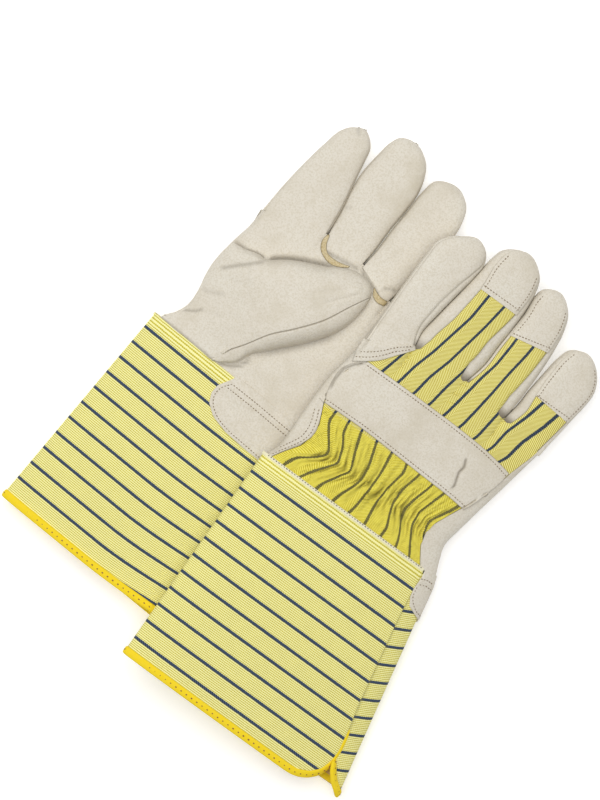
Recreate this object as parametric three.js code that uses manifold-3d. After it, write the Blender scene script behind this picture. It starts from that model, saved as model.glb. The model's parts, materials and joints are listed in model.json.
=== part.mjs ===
// A pair of leather work gloves with striped cotton backs and stiff gauntlet cuffs.
// Millimetres, +Z up, +Y towards the fingertips of the right glove. The left glove lies palm up on the
// surface; the right glove lies palm down, with its index side resting on the left glove.
// Each glove is drawn in its own frame: x towards the little finger, y towards the fingertips from the
// wrist seam, z from the palm to the back of the hand. The left glove is that frame mirrored in z.
import * as THREE from "three";
import { mergeVertices } from "three/addons/utils/BufferGeometryUtils.js";
import Module from "manifold-3d";

const wasm = await Module();
wasm.setup();

// Driving dimensions.
const LEATHER = 2.0; // cowhide wall, with its seam allowance
const CLOTH = 1.6; // cotton drill with its backing
const FIT_GAP = 0.35; // clearance between neighbouring pieces
const HAND_HALF_DEPTH = 10; // half the flattened thickness of the hand
const CUFF_HALF_DEPTH = 9.5;
const CUFF_LENGTH = 146; // wrist seam to the binding
const BINDING_WIDTH = 5.4;
const BINDING_THICKNESS = 2.6;
const FINGER_FACE = -8; // palm side of a finger
const FINGER_BACK = 10; // back of a finger
const SECTION_POWER = 3; // how square the flattened hand's cross-section is
const CUFF_POWER = 2.4;
const STRAP_RISE = 1.3; // the strap's flat outer face stands this far above the back
const BACK_OVERHANG = 2; // the back cloth runs this much further towards the knuckles than the palm
const THUMB_HOLE_RADIUS = 11; // where the thumb opens into the hand
const THUMB_HOLE_AT = 17; // distance of that hole from the thumb's root
const THUMB_HOLE_DEPTH = 12; // through the palm and the thumb's inner half
const TILT = 9; // degrees that the right glove leans on the left one
const LEFT_TURN = -5; // degrees between the two gloves' long axes
const LEFT_AT = { x: -104.5, y: 29.4 }; // left glove's origin in the right glove's frame
const CUTTER = 400; // edge of a cutting block, larger than a glove
const CUT_MARGIN = 1; // a cutting tool reaches this far past what it cuts
const WELD_DISTANCE = 1e-4; // points closer than this are one point
const CURVE_SEGMENTS = 5; // facets along each drawn curve of a finger
const HOLE_SIDES = 14;
// Facets round each curved sheet.
const FACETS = {
  palm: 30,
  back: 12,
  strap: 10,
  elastic: 8,
  lining: 6,
  cuffBack: 14,
  cuffPalm: 22,
  tape: 14,
  patch: 26,
};

// A finger is widest or narrowest at this share of its length, between its knuckle and its tip.
const FINGER_MIDDLE = 0.45;
const CLOTH_DIP = 0.4; // a finger's cloth lies this far below the leather cap beside it
const BACK_INSET = 0.3; // the back cloth lies this far below the hand's outer surface
// The knuckle strap: rows of the hand that it covers, how far its ends stop short of the cloth's seams,
// how much of its curve is cut flat, and its clearance over the hand's surface.
const STRAP = { rows: [4, 7], indexEnd: 2, littleEnd: 1, crown: 0.4, clearance: 0.1 };
// The wrist elastic: from and to along the hand, its ends across the hand, its depth under the back.
const ELASTIC = { row: 2, from: 22, to: 31, left: -38, right: 42, inset: CLOTH + 2.6, thickness: 1 };
const LINING = { firstRow: 4, from: 240, to: 305, thickness: 1 }; // angles round the hand's section
// Angles round the cuff: the two panels meet at its index-side fold.
const CUFF_FOLD = { back: 179, palm: 181, littleSide: 359 };
const UNDER_VENT = 1.2; // the palm panel stops this much further under the back panel's edge
const PALM_MOUTH = 2; // the palm panel stops this far short of the mouth, inside the binding
const TAPE = { width: 4.2, littleEnd: 58, indexAngle: 172, inset: -1.2, thickness: 0.9 };
const PATCH = { backEdge: 64, inset: -2, thickness: 1.4 };

const leather = new THREE.MeshStandardMaterial({ color: "#dcd5c4", roughness: 0.75, metalness: 0 });
const welt = new THREE.MeshStandardMaterial({ color: "#d9bd94", roughness: 0.8, metalness: 0 });
const stripedCotton = new THREE.MeshStandardMaterial({ color: "#e6d94f", roughness: 0.9, metalness: 0 });
const cuffCanvas = new THREE.MeshStandardMaterial({ color: "#e3da74", roughness: 0.85, metalness: 0 });
const bindingTape = new THREE.MeshStandardMaterial({ color: "#f6cf14", roughness: 0.8, metalness: 0 });
const selvage = new THREE.MeshStandardMaterial({ color: "#e8e2cc", roughness: 0.9, metalness: 0 });
const elasticWeb = new THREE.MeshStandardMaterial({ color: "#efece0", roughness: 0.8, metalness: 0 });
const fleece = new THREE.MeshStandardMaterial({ color: "#f1eee4", roughness: 1, metalness: 0 });

// What differs between the two gloves: how each lies. A finger has its knuckle point, lean (degrees
// towards the little finger), length, widths at knuckle, middle and tip, how far its tip is rounded, and
// at what share of its length the leather cap begins.
const right = {
  name: "right",
  // y, left edge, right edge, left seam and right seam of the back cloth
  hand: [
    [0, -63, 70, -61, 58],
    [12, -59, 66, -54, 50],
    [25, -57, 62, -46, 49],
    [37, -57, 66, -46, 54],
    [50, -57.5, 68, -52, 60.5],
    [68, -57, 72, -54, 68],
    [84, -53.5, 76, -44, 71.5],
    [100, -52, 79, -28, 74.5],
  ],
  fingers: {
    index: { at: [-39, 105], lean: 2.5, length: 82, widths: [25, 27, 31], round: 20 },
    middle: { at: [-6.5, 107], lean: 5.2, length: 90, widths: [31, 33, 33], round: 20, cap: 0.6 },
    ring: { at: [28.5, 105], lean: 3, length: 84, widths: [30, 29, 29], round: 18, cap: 0.6 },
    little: { at: [63.3, 104.6], lean: 5.5, length: 63.4, widths: [28, 31, 30], round: 17, cap: 0.38 },
  },
  thumb: { at: [-13, 24], lean: 30, length: 80, widths: [44, 42, 30], round: 20, depth: 10, wall: 1.6 },
};
const left = {
  name: "left",
  hand: [
    [0, -61, 70, -59, 58],
    [12, -52.5, 64, -50, 50],
    [25, -50.5, 60, -45, 48],
    [37, -54, 61, -46, 52],
    [50, -56, 62, -51, 56],
    [68, -54.5, 64, -52, 60],
    [84, -53, 66, -44, 62],
    [97, -53, 68, -30, 65],
  ],
  fingers: {
    index: { at: [-34, 104], lean: -2, length: 67, widths: [37, 33, 26], round: 17 },
    middle: { at: [2, 104], lean: -5.5, length: 81, widths: [28, 33, 32], round: 20, cap: 0.6 },
    ring: { at: [30.5, 103], lean: 0.5, length: 77.5, widths: [26, 28, 27], round: 18, cap: 0.6 },
    little: { at: [57.5, 100.5], lean: 2.5, length: 52, widths: [24, 24, 23], round: 14, cap: 0.38 },
  },
  thumb: { at: [-31, 25], lean: 39, length: 92, widths: [50, 47, 30], round: 22, depth: 17, wall: 2 },
};
const cuffEdges = [-62.5, 71, -62.5, 100]; // left and right edges at the wrist, then at the mouth
// The pulse patch: y, and the angle at which it begins on the palm side.
const patchRows = [
  [-FIT_GAP, 268],
  [-6, 265],
  [-16, 265],
  [-22, 268],
  [-27, 276],
  [-30, 288],
];

const rad = THREE.MathUtils.degToRad;

// A closed geometry as a manifold-3d solid, for cutting and joining.
function solidOf(geometry) {
  const bare = geometry.clone();
  bare.deleteAttribute("normal");
  bare.deleteAttribute("uv");
  const merged = mergeVertices(bare, WELD_DISTANCE);
  return new wasm.Manifold(
    new wasm.Mesh({
      numProp: 3,
      vertProperties: merged.attributes.position.array,
      triVerts: new Uint32Array(merged.index.array),
    }),
  );
}

function geometryOf(solid) {
  const mesh = solid.getMesh();
  const geometry = new THREE.BufferGeometry();
  geometry.setAttribute("position", new THREE.BufferAttribute(mesh.vertProperties, 3));
  geometry.setIndex(new THREE.BufferAttribute(mesh.triVerts, 1));
  return geometry;
}

const cut = (geometry, tool) => geometryOf(solidOf(geometry).subtract(solidOf(tool)));

// A flat plate: an outline in xy, from height low up to high.
function plate(shape, low, high) {
  const geometry = new THREE.ExtrudeGeometry(shape, {
    depth: high - low,
    bevelEnabled: false,
    curveSegments: CURVE_SEGMENTS,
  });
  return geometry.translate(0, 0, low);
}

// A solid through a row of closed rings, each a list of Vector3 with the same number of points.
function loft(rings) {
  const count = rings[0].length;
  const position = rings.flat().flatMap((p) => [p.x, p.y, p.z]);
  const index = [];
  for (let r = 0; r + 1 < rings.length; r++)
    for (let i = 0; i < count; i++) {
      const j = (i + 1) % count;
      const [a, b, c, d] = [r * count + i, r * count + j, (r + 1) * count + j, (r + 1) * count + i];
      index.push(a, b, c, a, c, d);
    }
  // Each end is closed as a strip between the ring's outer and inner halves.
  const half = count / 2;
  const last = (rings.length - 1) * count;
  for (let i = 0; i + 1 < half; i++) {
    const [a, b, c, d] = [i, i + 1, count - 2 - i, count - 1 - i];
    index.push(a, c, b, a, d, c);
    index.push(last + a, last + b, last + c, last + a, last + c, last + d);
  }
  const geometry = new THREE.BufferGeometry();
  geometry.setAttribute("position", new THREE.Float32BufferAttribute(position, 3));
  geometry.setIndex(index);
  // A row that runs the other way would face inwards, so its triangles are turned round.
  if (solidOf(geometry).volume() < 0) geometry.setIndex(index.reverse());
  return geometryOf(solidOf(geometry));
}

// A point of the flattened tube's section at angle t: 0 at the little-finger edge, 90 at the back.
function sectionPoint(edges, halfDepth, power, t, inset) {
  const [y, low, high] = edges;
  const c = Math.cos(rad(t));
  const s = Math.sin(rad(t));
  const round = (v) => Math.sign(v) * Math.abs(v) ** (2 / power);
  const halfWidth = (high - low) / 2 - inset;
  return new THREE.Vector3((low + high) / 2 + halfWidth * round(c), y, (halfDepth - inset) * round(s));
}

// The angle at which the section's back passes over x.
function angleAt(edges, power, x) {
  const [, low, high] = edges;
  const share = (x - (low + high) / 2) / ((high - low) / 2);
  const c = Math.sign(share) * Math.min(1, Math.abs(share)) ** (power / 2);
  return THREE.MathUtils.radToDeg(Math.acos(c));
}

// A skin of a flattened tube between two angles: a curved sheet of the given thickness, inset from the
// tube's outer surface. Each station is [edges, from, to].
function skin(stations, halfDepth, power, inset, thickness, steps) {
  const rings = stations.map(([edges, from, to]) => {
    const outer = [];
    const inner = [];
    for (let i = 0; i <= steps; i++) {
      const t = from + ((to - from) * i) / steps;
      outer.push(sectionPoint(edges, halfDepth, power, t, inset));
      inner.push(sectionPoint(edges, halfDepth, power, t, inset + thickness));
    }
    return [...outer, ...inner.reverse()];
  });
  return loft(rings);
}

// The outline of a finger in its own frame, from the knuckle line at y = start, inset all round.
function fingerOutline({ length, widths, round }, inset, start) {
  const [base, middle, tip] = widths.map((w) => w / 2 - inset);
  const shape = new THREE.Shape();
  shape.moveTo(base, start);
  shape.lineTo(middle, length * FINGER_MIDDLE);
  shape.lineTo(tip, length - round);
  shape.absellipse(0, length - round, tip, round - inset, 0, Math.PI, false);
  shape.lineTo(-middle, length * FINGER_MIDDLE);
  shape.lineTo(-base, start);
  return shape;
}

// The side wall of a finger: the band between its outline and the same outline set in by the wall.
function fingerWall(finger, wall, start) {
  const outer = fingerOutline(finger, FIT_GAP, start).getPoints(CURVE_SEGMENTS);
  const inner = fingerOutline(finger, FIT_GAP + wall, start).getPoints(CURVE_SEGMENTS);
  return new THREE.Shape([...outer, ...inner.reverse()]);
}

function add(group, name, geometry, material) {
  const mesh = new THREE.Mesh(geometry, material);
  mesh.name = name;
  group.add(mesh);
}

function placed(group, { at, lean }) {
  const frame = new THREE.Group();
  frame.position.set(at[0], at[1], 0);
  frame.rotation.z = -rad(lean);
  group.add(frame);
  return frame;
}

// A box-shaped finger: a leather front, a back, side walls (fourchettes) and, on all but the index
// finger, a separate leather cap over the end of the cloth back.
function addFinger(glove, group, key) {
  const finger = glove.fingers[key];
  const frame = placed(group, finger);
  const name = `${glove.name}_${key}`;
  const outline = fingerOutline(finger, 0, FIT_GAP);
  const backLow = FINGER_BACK - LEATHER;
  add(frame, `${name}_front`, plate(outline, FINGER_FACE, FINGER_FACE + LEATHER), leather);
  add(
    frame,
    `${name}_fourchette`,
    plate(fingerWall(finger, LEATHER, FIT_GAP), FINGER_FACE + LEATHER + FIT_GAP, backLow - FIT_GAP),
    welt,
  );
  if (!finger.cap) {
    add(frame, `${name}_back`, plate(outline, backLow, FINGER_BACK), leather);
    return;
  }
  const capStart = finger.length * finger.cap;
  const half = Math.max(...finger.widths) / 2 + CUT_MARGIN;
  const below = new THREE.Shape([
    new THREE.Vector2(-half, -CUT_MARGIN),
    new THREE.Vector2(half, -CUT_MARGIN),
    new THREE.Vector2(half, capStart),
    new THREE.Vector2(-half, capStart),
  ]);
  const back = solidOf(plate(outline, backLow, FINGER_BACK));
  const cloth = back.intersect(solidOf(plate(below, backLow - CUT_MARGIN, FINGER_BACK - CLOTH_DIP)));
  add(frame, `${name}_back`, geometryOf(cloth), stripedCotton);
  const capTool = plate(below, backLow - CUT_MARGIN, FINGER_BACK + CUT_MARGIN).translate(0, FIT_GAP, 0);
  add(frame, `${name}_cap`, geometryOf(back.subtract(solidOf(capTool))), leather);
}

// The hole through the palm and the thumb's inner half, in the thumb's own frame.
function thumbHole() {
  const radius = THUMB_HOLE_RADIUS;
  const hole = new THREE.CylinderGeometry(radius, radius, THUMB_HOLE_DEPTH, HOLE_SIDES);
  return hole.rotateX(Math.PI / 2).translate(0, THUMB_HOLE_AT, -HAND_HALF_DEPTH);
}

// The thumb lies folded flat over the palm: two leather halves with a side wall, open at its root.
function addThumb(glove, group) {
  const thumb = glove.thumb;
  const frame = placed(group, thumb);
  const near = -HAND_HALF_DEPTH - FIT_GAP;
  const far = near - thumb.depth;
  const name = `${glove.name}_thumb`;
  const outline = fingerOutline(thumb, 0, FIT_GAP);
  add(frame, `${name}_inner`, cut(plate(outline, near - thumb.wall, near), thumbHole()), leather);
  add(
    frame,
    `${name}_side`,
    plate(fingerWall(thumb, thumb.wall, FIT_GAP), far + thumb.wall + FIT_GAP, near - thumb.wall - FIT_GAP),
    welt,
  );
  add(frame, `${name}_outer`, plate(outline, far, far + thumb.wall), leather);
}

function addHand(glove, group) {
  const name = glove.name;
  const palmStations = glove.hand.map(([y, low, high, seamLow, seamHigh]) => {
    const edges = [y, low, high];
    return [edges, angleAt(edges, SECTION_POWER, seamLow), 360 + angleAt(edges, SECTION_POWER, seamHigh)];
  });
  const palmSkin = skin(palmStations, HAND_HALF_DEPTH, SECTION_POWER, 0, LEATHER, FACETS.palm);
  const { at, lean } = glove.thumb;
  const hole = thumbHole().rotateZ(-rad(lean)).translate(at[0], at[1], 0);
  add(group, `${name}_palm`, cut(palmSkin, hole), leather);

  const [palmEnd, ...lastRow] = glove.hand.at(-1);
  const backRows = [...glove.hand, [palmEnd + BACK_OVERHANG, ...lastRow]];
  const backStations = backRows.map(([y, low, high, seamLow, seamHigh]) => {
    const edges = [y, low, high];
    const seams = [seamHigh - FIT_GAP * 2, seamLow + FIT_GAP * 2];
    return [edges, ...seams.map((x) => angleAt(edges, SECTION_POWER, x))];
  });
  const backSkin = skin(backStations, HAND_HALF_DEPTH, SECTION_POWER, BACK_INSET, CLOTH, FACETS.back);
  add(group, `${name}_back_cloth`, backSkin, stripedCotton);

  const strapStations = glove.hand.slice(...STRAP.rows).map(([y, low, high, seamLow, seamHigh]) => {
    const edges = [y, low, high];
    const ends = [seamHigh - STRAP.littleEnd, seamLow + STRAP.indexEnd];
    return [edges, ...ends.map((x) => angleAt(edges, SECTION_POWER, x))];
  });
  const strapTop = STRAP_RISE + STRAP.crown;
  const strapDepth = strapTop - STRAP.clearance;
  const strap = skin(strapStations, HAND_HALF_DEPTH, SECTION_POWER, -strapTop, strapDepth, FACETS.strap);
  const above = new THREE.BoxGeometry(CUTTER, CUTTER, CUTTER);
  above.translate(0, 0, HAND_HALF_DEPTH + STRAP_RISE + CUTTER / 2);
  add(group, `${name}_knuckle_strap`, cut(strap, above), leather);

  const [, elasticLow, elasticHigh] = glove.hand[ELASTIC.row];
  const elasticStations = [ELASTIC.from, ELASTIC.to].map((y) => {
    const edges = [y, elasticLow, elasticHigh];
    return [edges, ...[ELASTIC.right, ELASTIC.left].map((x) => angleAt(edges, SECTION_POWER, x))];
  });
  const elastic = [HAND_HALF_DEPTH, SECTION_POWER, ELASTIC.inset, ELASTIC.thickness, FACETS.elastic];
  add(group, `${name}_wrist_elastic`, skin(elasticStations, ...elastic), elasticWeb);

  const liningRows = glove.hand.slice(LINING.firstRow);
  const liningStations = liningRows.map(([y, low, high]) => [[y, low, high], LINING.from, LINING.to]);
  const lining = [HAND_HALF_DEPTH, SECTION_POWER, LEATHER + FIT_GAP, LINING.thickness, FACETS.lining];
  add(group, `${name}_palm_lining`, skin(liningStations, ...lining), fleece);
}

// Cuff edges at a height y below the wrist, tapering out to the mouth.
function cuffAt(y) {
  const [lowTop, highTop, lowEnd, highEnd] = cuffEdges;
  const share = -y / (CUFF_LENGTH + BINDING_WIDTH);
  return [y, THREE.MathUtils.lerp(lowTop, lowEnd, share), THREE.MathUtils.lerp(highTop, highEnd, share)];
}

// Where the back panel ends towards the little finger: a straight seam, then the open vent's round corner.
const backPanelEdge = [
  [-FIT_GAP, 60],
  [-30, 64],
  [-60, 69.5],
  [-90, 75],
  [-102, 78],
  [-118, 81],
  [-130, 80.5],
  [-138, 78],
  [-143, 73],
  [-CUFF_LENGTH, 65],
];
// Where the palm panel, folded round onto the back, ends under it.
const palmPanelEdge = [
  [-FIT_GAP, 62],
  [-60, 71],
  [-90, 77],
  [-112, 83],
  [-126, 87],
  [-134, 90],
  [-140, 95],
];

function addCuff(glove, group) {
  const name = glove.name;
  const angle = (y, x) => angleAt(cuffAt(y), CUFF_POWER, x);
  const back = backPanelEdge.map(([y, x]) => [cuffAt(y), angle(y, x), CUFF_FOLD.back]);
  const backPanel = skin(back, CUFF_HALF_DEPTH, CUFF_POWER, 0, CLOTH, FACETS.cuffBack);
  add(group, `${name}_cuff_back`, backPanel, cuffCanvas);
  const palm = palmPanelEdge.map(([y, x]) => [cuffAt(y), CUFF_FOLD.palm, 360 + angle(y, x + UNDER_VENT)]);
  palm.push([cuffAt(-CUFF_LENGTH + PALM_MOUTH), CUFF_FOLD.palm, CUFF_FOLD.littleSide]);
  const palmPanel = skin(palm, CUFF_HALF_DEPTH, CUFF_POWER, 0, CLOTH, FACETS.cuffPalm);
  add(group, `${name}_cuff_palm`, palmPanel, cuffCanvas);
  addBinding(name, group);

  const tape = [-FIT_GAP, -TAPE.width].map((y) => [cuffAt(y), angle(0, TAPE.littleEnd), TAPE.indexAngle]);
  const tapeSkin = skin(tape, CUFF_HALF_DEPTH, CUFF_POWER, TAPE.inset, TAPE.thickness, FACETS.tape);
  add(group, `${name}_wrist_tape`, tapeSkin, selvage);

  // The pulse patch covers the wrist seam on the palm side and turns round the little-finger edge.
  const patch = patchRows.map(([y, from]) => [cuffAt(y), from, 360 + angle(y, PATCH.backEdge)]);
  const patchSkin = skin(patch, CUFF_HALF_DEPTH, CUFF_POWER, PATCH.inset, PATCH.thickness, FACETS.patch);
  add(group, `${name}_pulse_patch`, patchSkin, leather);
}

// Angles round the mouth at which the binding is drawn, closer together where it turns at the folds.
const bindingAngles = [
  80, 100, 120, 140, 155, 168, 180, 192, 205, 220, 240, 260, 280, 300, 320, 335, 347, 357,
];
const VENT_START = 4; // the row of the back panel's edge at which the vent opens

// The binding tape: a band with a rectangular section that runs down the vent, round its corner, and
// all the way round the mouth.
function addBinding(name, group) {
  const edge = backPanelEdge.slice(VENT_START).map(([y, x]) => [y, angleAt(cuffAt(y), CUFF_POWER, x)]);
  const path = [...edge, ...bindingAngles.map((t) => [-CUFF_LENGTH, t])];
  const at = ([y, t], inset) => sectionPoint(cuffAt(y), CUFF_HALF_DEPTH, CUFF_POWER, t, inset);
  const points = path.map((step) => at(step, CLOTH / 2));
  const outward = path.map((step) => at(step, 0).sub(at(step, CLOTH / 2)).normalize());
  const rings = points.map((p, i) => {
    const next = points[Math.min(i + 1, points.length - 1)];
    const along = next.clone().sub(points[Math.max(i - 1, 0)]).normalize();
    const across = outward[i].clone().cross(along).normalize();
    const face = across.clone().cross(along).normalize().multiplyScalar(BINDING_THICKNESS / 2);
    const near = p.clone().addScaledVector(across, FIT_GAP);
    const far = p.clone().addScaledVector(across, BINDING_WIDTH);
    return [near.clone().add(face), far.clone().add(face), far.clone().sub(face), near.clone().sub(face)];
  });
  add(group, `${name}_cuff_binding`, loft(rings), bindingTape);
}

function glove(spec) {
  const group = new THREE.Group();
  addHand(spec, group);
  for (const key of Object.keys(spec.fingers)) addFinger(spec, group, key);
  addThumb(spec, group);
  addCuff(spec, group);
  return group;
}

const leftGlove = glove(left);
leftGlove.scale.z = -1;
leftGlove.rotation.z = rad(LEFT_TURN);
leftGlove.position.set(LEFT_AT.x, LEFT_AT.y, 0);

const rightGlove = glove(right);
rightGlove.rotation.y = rad(TILT);

// Both gloves stand on z = 0, and the pair is centred on the origin.
const boxOf = (object) => {
  object.updateMatrixWorld(true);
  return new THREE.Box3().setFromObject(object, true);
};
for (const one of [leftGlove, rightGlove]) one.position.z -= boxOf(one).min.z;

const pair = new THREE.Group();
pair.add(leftGlove, rightGlove);
const centre = boxOf(pair).getCenter(new THREE.Vector3());
pair.position.set(-centre.x, -centre.y, 0);

export default pair;
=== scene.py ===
import json
import math

import bmesh
import bpy
import numpy as np
from mathutils import Matrix, Vector
from mathutils.bvhtree import BVHTree


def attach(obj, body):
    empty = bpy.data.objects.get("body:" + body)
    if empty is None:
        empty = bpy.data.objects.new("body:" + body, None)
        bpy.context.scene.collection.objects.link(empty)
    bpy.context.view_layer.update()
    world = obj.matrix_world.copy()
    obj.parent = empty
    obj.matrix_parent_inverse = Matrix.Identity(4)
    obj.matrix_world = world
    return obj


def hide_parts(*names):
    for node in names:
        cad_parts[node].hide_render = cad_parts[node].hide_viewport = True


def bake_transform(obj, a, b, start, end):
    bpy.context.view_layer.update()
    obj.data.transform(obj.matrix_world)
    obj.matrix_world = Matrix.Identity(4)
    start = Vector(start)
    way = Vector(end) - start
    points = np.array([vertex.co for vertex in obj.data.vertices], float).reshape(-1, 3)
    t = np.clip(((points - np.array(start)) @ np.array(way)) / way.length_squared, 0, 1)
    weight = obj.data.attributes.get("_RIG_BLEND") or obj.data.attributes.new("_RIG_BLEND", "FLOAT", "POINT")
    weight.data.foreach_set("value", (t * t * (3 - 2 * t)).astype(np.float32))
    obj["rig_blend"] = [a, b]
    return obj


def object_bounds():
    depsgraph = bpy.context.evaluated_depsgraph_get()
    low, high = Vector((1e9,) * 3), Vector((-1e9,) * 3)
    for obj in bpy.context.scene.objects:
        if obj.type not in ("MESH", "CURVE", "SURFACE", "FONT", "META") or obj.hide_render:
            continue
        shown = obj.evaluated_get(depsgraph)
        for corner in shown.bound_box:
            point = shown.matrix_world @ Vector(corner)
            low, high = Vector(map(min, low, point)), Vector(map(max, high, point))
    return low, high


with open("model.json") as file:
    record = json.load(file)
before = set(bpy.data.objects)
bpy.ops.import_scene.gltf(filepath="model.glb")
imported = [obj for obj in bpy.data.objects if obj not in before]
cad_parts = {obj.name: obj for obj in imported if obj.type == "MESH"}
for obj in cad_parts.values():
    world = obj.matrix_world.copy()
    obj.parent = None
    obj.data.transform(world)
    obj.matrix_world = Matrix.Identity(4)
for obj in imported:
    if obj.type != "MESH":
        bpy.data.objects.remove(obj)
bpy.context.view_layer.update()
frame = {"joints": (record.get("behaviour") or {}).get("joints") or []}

# A pair of leather gauntlet gloves. Each glove is drawn in its own frame, in millimetres:
# x towards the little finger, y towards the fingertips from the wrist seam, z up out of the back of the hand.
mm = 0.001

# How each glove lies, and where its middle knuckle is in its own frame
lying = {
    "right": {"tilt": 9, "turn": 0, "flip": 1, "knuckle": (-6.5, 107, -5)},
    "left": {"tilt": 0, "turn": -5, "flip": -1, "knuckle": (2, 104, -5)},
}


def placeOf(side):
    lie = lying[side]
    turned = (
        Matrix.Rotation(math.radians(lie["turn"]), 4, "Z")
        @ Matrix.Rotation(math.radians(lie["tilt"]), 4, "Y")
        @ Matrix.Diagonal((mm, mm, mm * lie["flip"], 1))
    )
    joint = next(j for j in frame["joints"] if j["name"] == f"{side}_middle_flex")
    return Matrix.Translation(Vector(joint["pos_m"]) - turned @ Vector(lie["knuckle"])) @ turned


place = {side: np.array(placeOf(side)) for side in lying}


def inWorld(side, points):
    points = np.asarray(points, float)
    return points @ place[side][:3, :3].T + place[side][:3, 3]


def smooth(low, high, value):
    share = np.clip((value - low) / (high - low), 0, 1)
    return share * share * (3 - 2 * share)


def curveThrough(points, shares):
    # points at those shares of the length of a smooth curve through the given ones
    p = np.asarray(points, float)
    t = np.r_[0, np.cumsum(np.linalg.norm(np.diff(p, axis=0), axis=1))]
    slope = np.gradient(p, t, axis=0)
    fine = np.linspace(0, t[-1], 600)
    i = np.clip(np.searchsorted(t, fine) - 1, 0, len(t) - 2)
    h = (t[i + 1] - t[i])[:, None]
    s = (fine - t[i])[:, None] / h
    line = (2 * s**3 - 3 * s**2 + 1) * p[i] + (s**3 - 2 * s**2 + s) * h * slope[i]
    line += (3 * s**2 - 2 * s**3) * p[i + 1] + (s**3 - s**2) * h * slope[i + 1]
    along = np.r_[0, np.cumsum(np.linalg.norm(np.diff(line, axis=0), axis=1))]
    wanted = np.asarray(shares) * along[-1]
    return np.stack([np.interp(wanted, along, line[:, k]) for k in range(p.shape[1])], 1)


def column(table, k):
    return [row[k] for row in table]


# ---- materials ----


def toLinear(hexColour):
    parts = [int(hexColour[i : i + 2], 16) / 255 for i in (1, 3, 5)]
    return [*(c / 12.92 if c <= 0.04045 else ((c + 0.055) / 1.055) ** 2.4 for c in parts), 1.0]


def addNode(tree, kind, inputs=None, **settings):
    made = tree.nodes.new(kind)
    for key, value in settings.items():
        setattr(made, key, value)
    for key, value in (inputs or {}).items():
        if isinstance(value, bpy.types.NodeSocket):
            tree.links.new(value, made.inputs[key])
        else:
            made.inputs[key].default_value = value
    return made


def newMaterial(name):
    material = bpy.data.materials.new(name)
    material.use_nodes = True
    tree = material.node_tree
    return material, tree, tree.nodes["Principled BSDF"]


def ramp(tree, value, stops):
    made = addNode(tree, "ShaderNodeValToRGB", {"Fac": value})
    for _ in range(len(stops) - 2):
        made.color_ramp.elements.new(0.5)
    for element, (position, colour) in zip(made.color_ramp.elements, stops):
        element.position = position
        element.color = toLinear(colour) if isinstance(colour, str) else (colour, colour, colour, 1)
    return made.outputs["Color"]


def calc(tree, operation, *values):
    return addNode(tree, "ShaderNodeMath", dict(enumerate(values)), operation=operation).outputs[0]


def mixColours(tree, share, a, b):
    mix = addNode(tree, "ShaderNodeMix", data_type="RGBA")
    for socket, value in ((mix.inputs[0], share), (mix.inputs[6], a), (mix.inputs[7], b)):
        if isinstance(value, bpy.types.NodeSocket):
            tree.links.new(value, socket)
        else:
            socket.default_value = toLinear(value) if isinstance(value, str) else value
    return mix.outputs[2]


def leatherMaterial(name, pale, dark, tint):
    # Chrome-tanned grain cowhide, drummed soft: a dull, dry surface with fine pores and faint blotches
    material, tree, shader = newMaterial(name)
    spot = addNode(tree, "ShaderNodeTexCoord").outputs["Object"]
    blotch = addNode(tree, "ShaderNodeTexNoise", {"Vector": spot, "Scale": 30, "Detail": 5, "Roughness": 0.62})
    # pores and specks are drawn about twice as coarse as on the hide, so that they still show
    pores = addNode(tree, "ShaderNodeTexVoronoi", {"Vector": spot, "Scale": 900, "Randomness": 1})
    specks = addNode(tree, "ShaderNodeTexNoise", {"Vector": spot, "Scale": 900, "Detail": 3, "Roughness": 0.7})
    base = ramp(tree, blotch.outputs["Fac"], [(0.22, dark), (0.5, pale), (0.75, tint)])
    speckle = ramp(tree, specks.outputs["Fac"], [(0.4, 1.0), (0.54, 0.0)])
    speckled = mixColours(tree, calc(tree, "MULTIPLY", speckle, 0.65), base, dark)
    # painted shade: the colour is darkened towards brown in the creases, along the seams and in the hollows
    # between the fingers
    hollow = addNode(tree, "ShaderNodeAttribute", attribute_name="hollow").outputs["Fac"]
    tree.links.new(mixColours(tree, hollow, speckled, "#4E4028"), shader.inputs["Base Color"])
    crease = addNode(tree, "ShaderNodeTexNoise", {"Vector": spot, "Scale": 140, "Detail": 6, "Roughness": 0.66})
    wrinkle = addNode(tree, "ShaderNodeTexNoise", {"Vector": spot, "Scale": 45, "Detail": 2, "Distortion": 1.2})
    lines = calc(tree, "ABSOLUTE", calc(tree, "SUBTRACT", wrinkle.outputs["Fac"], 0.5))
    fineHeight = calc(tree, "MULTIPLY", pores.outputs["Distance"], 0.8)
    grain = addNode(tree, "ShaderNodeBump", {"Strength": 0.4, "Distance": 0.0003, "Height": fineHeight})
    height = calc(tree, "ADD", crease.outputs["Fac"], calc(tree, "MULTIPLY", lines, 1.5))
    wrinkled = {"Strength": 0.45, "Distance": 0.001, "Height": height, "Normal": grain.outputs["Normal"]}
    soft = addNode(tree, "ShaderNodeBump", wrinkled)
    tree.links.new(soft.outputs["Normal"], shader.inputs["Normal"])
    shader.inputs["Roughness"].default_value = 0.75
    shader.inputs["Specular IOR Level"].default_value = 0.25
    shader.inputs["Sheen Weight"].default_value = 0.06
    return material


def wave(tree, value):
    # from 0 to 1 and back once for each unit of value
    turned = calc(tree, "SINE", calc(tree, "MULTIPLY", value, math.tau))
    return calc(tree, "ADD", calc(tree, "MULTIPLY", turned, 0.5), 0.5)


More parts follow.
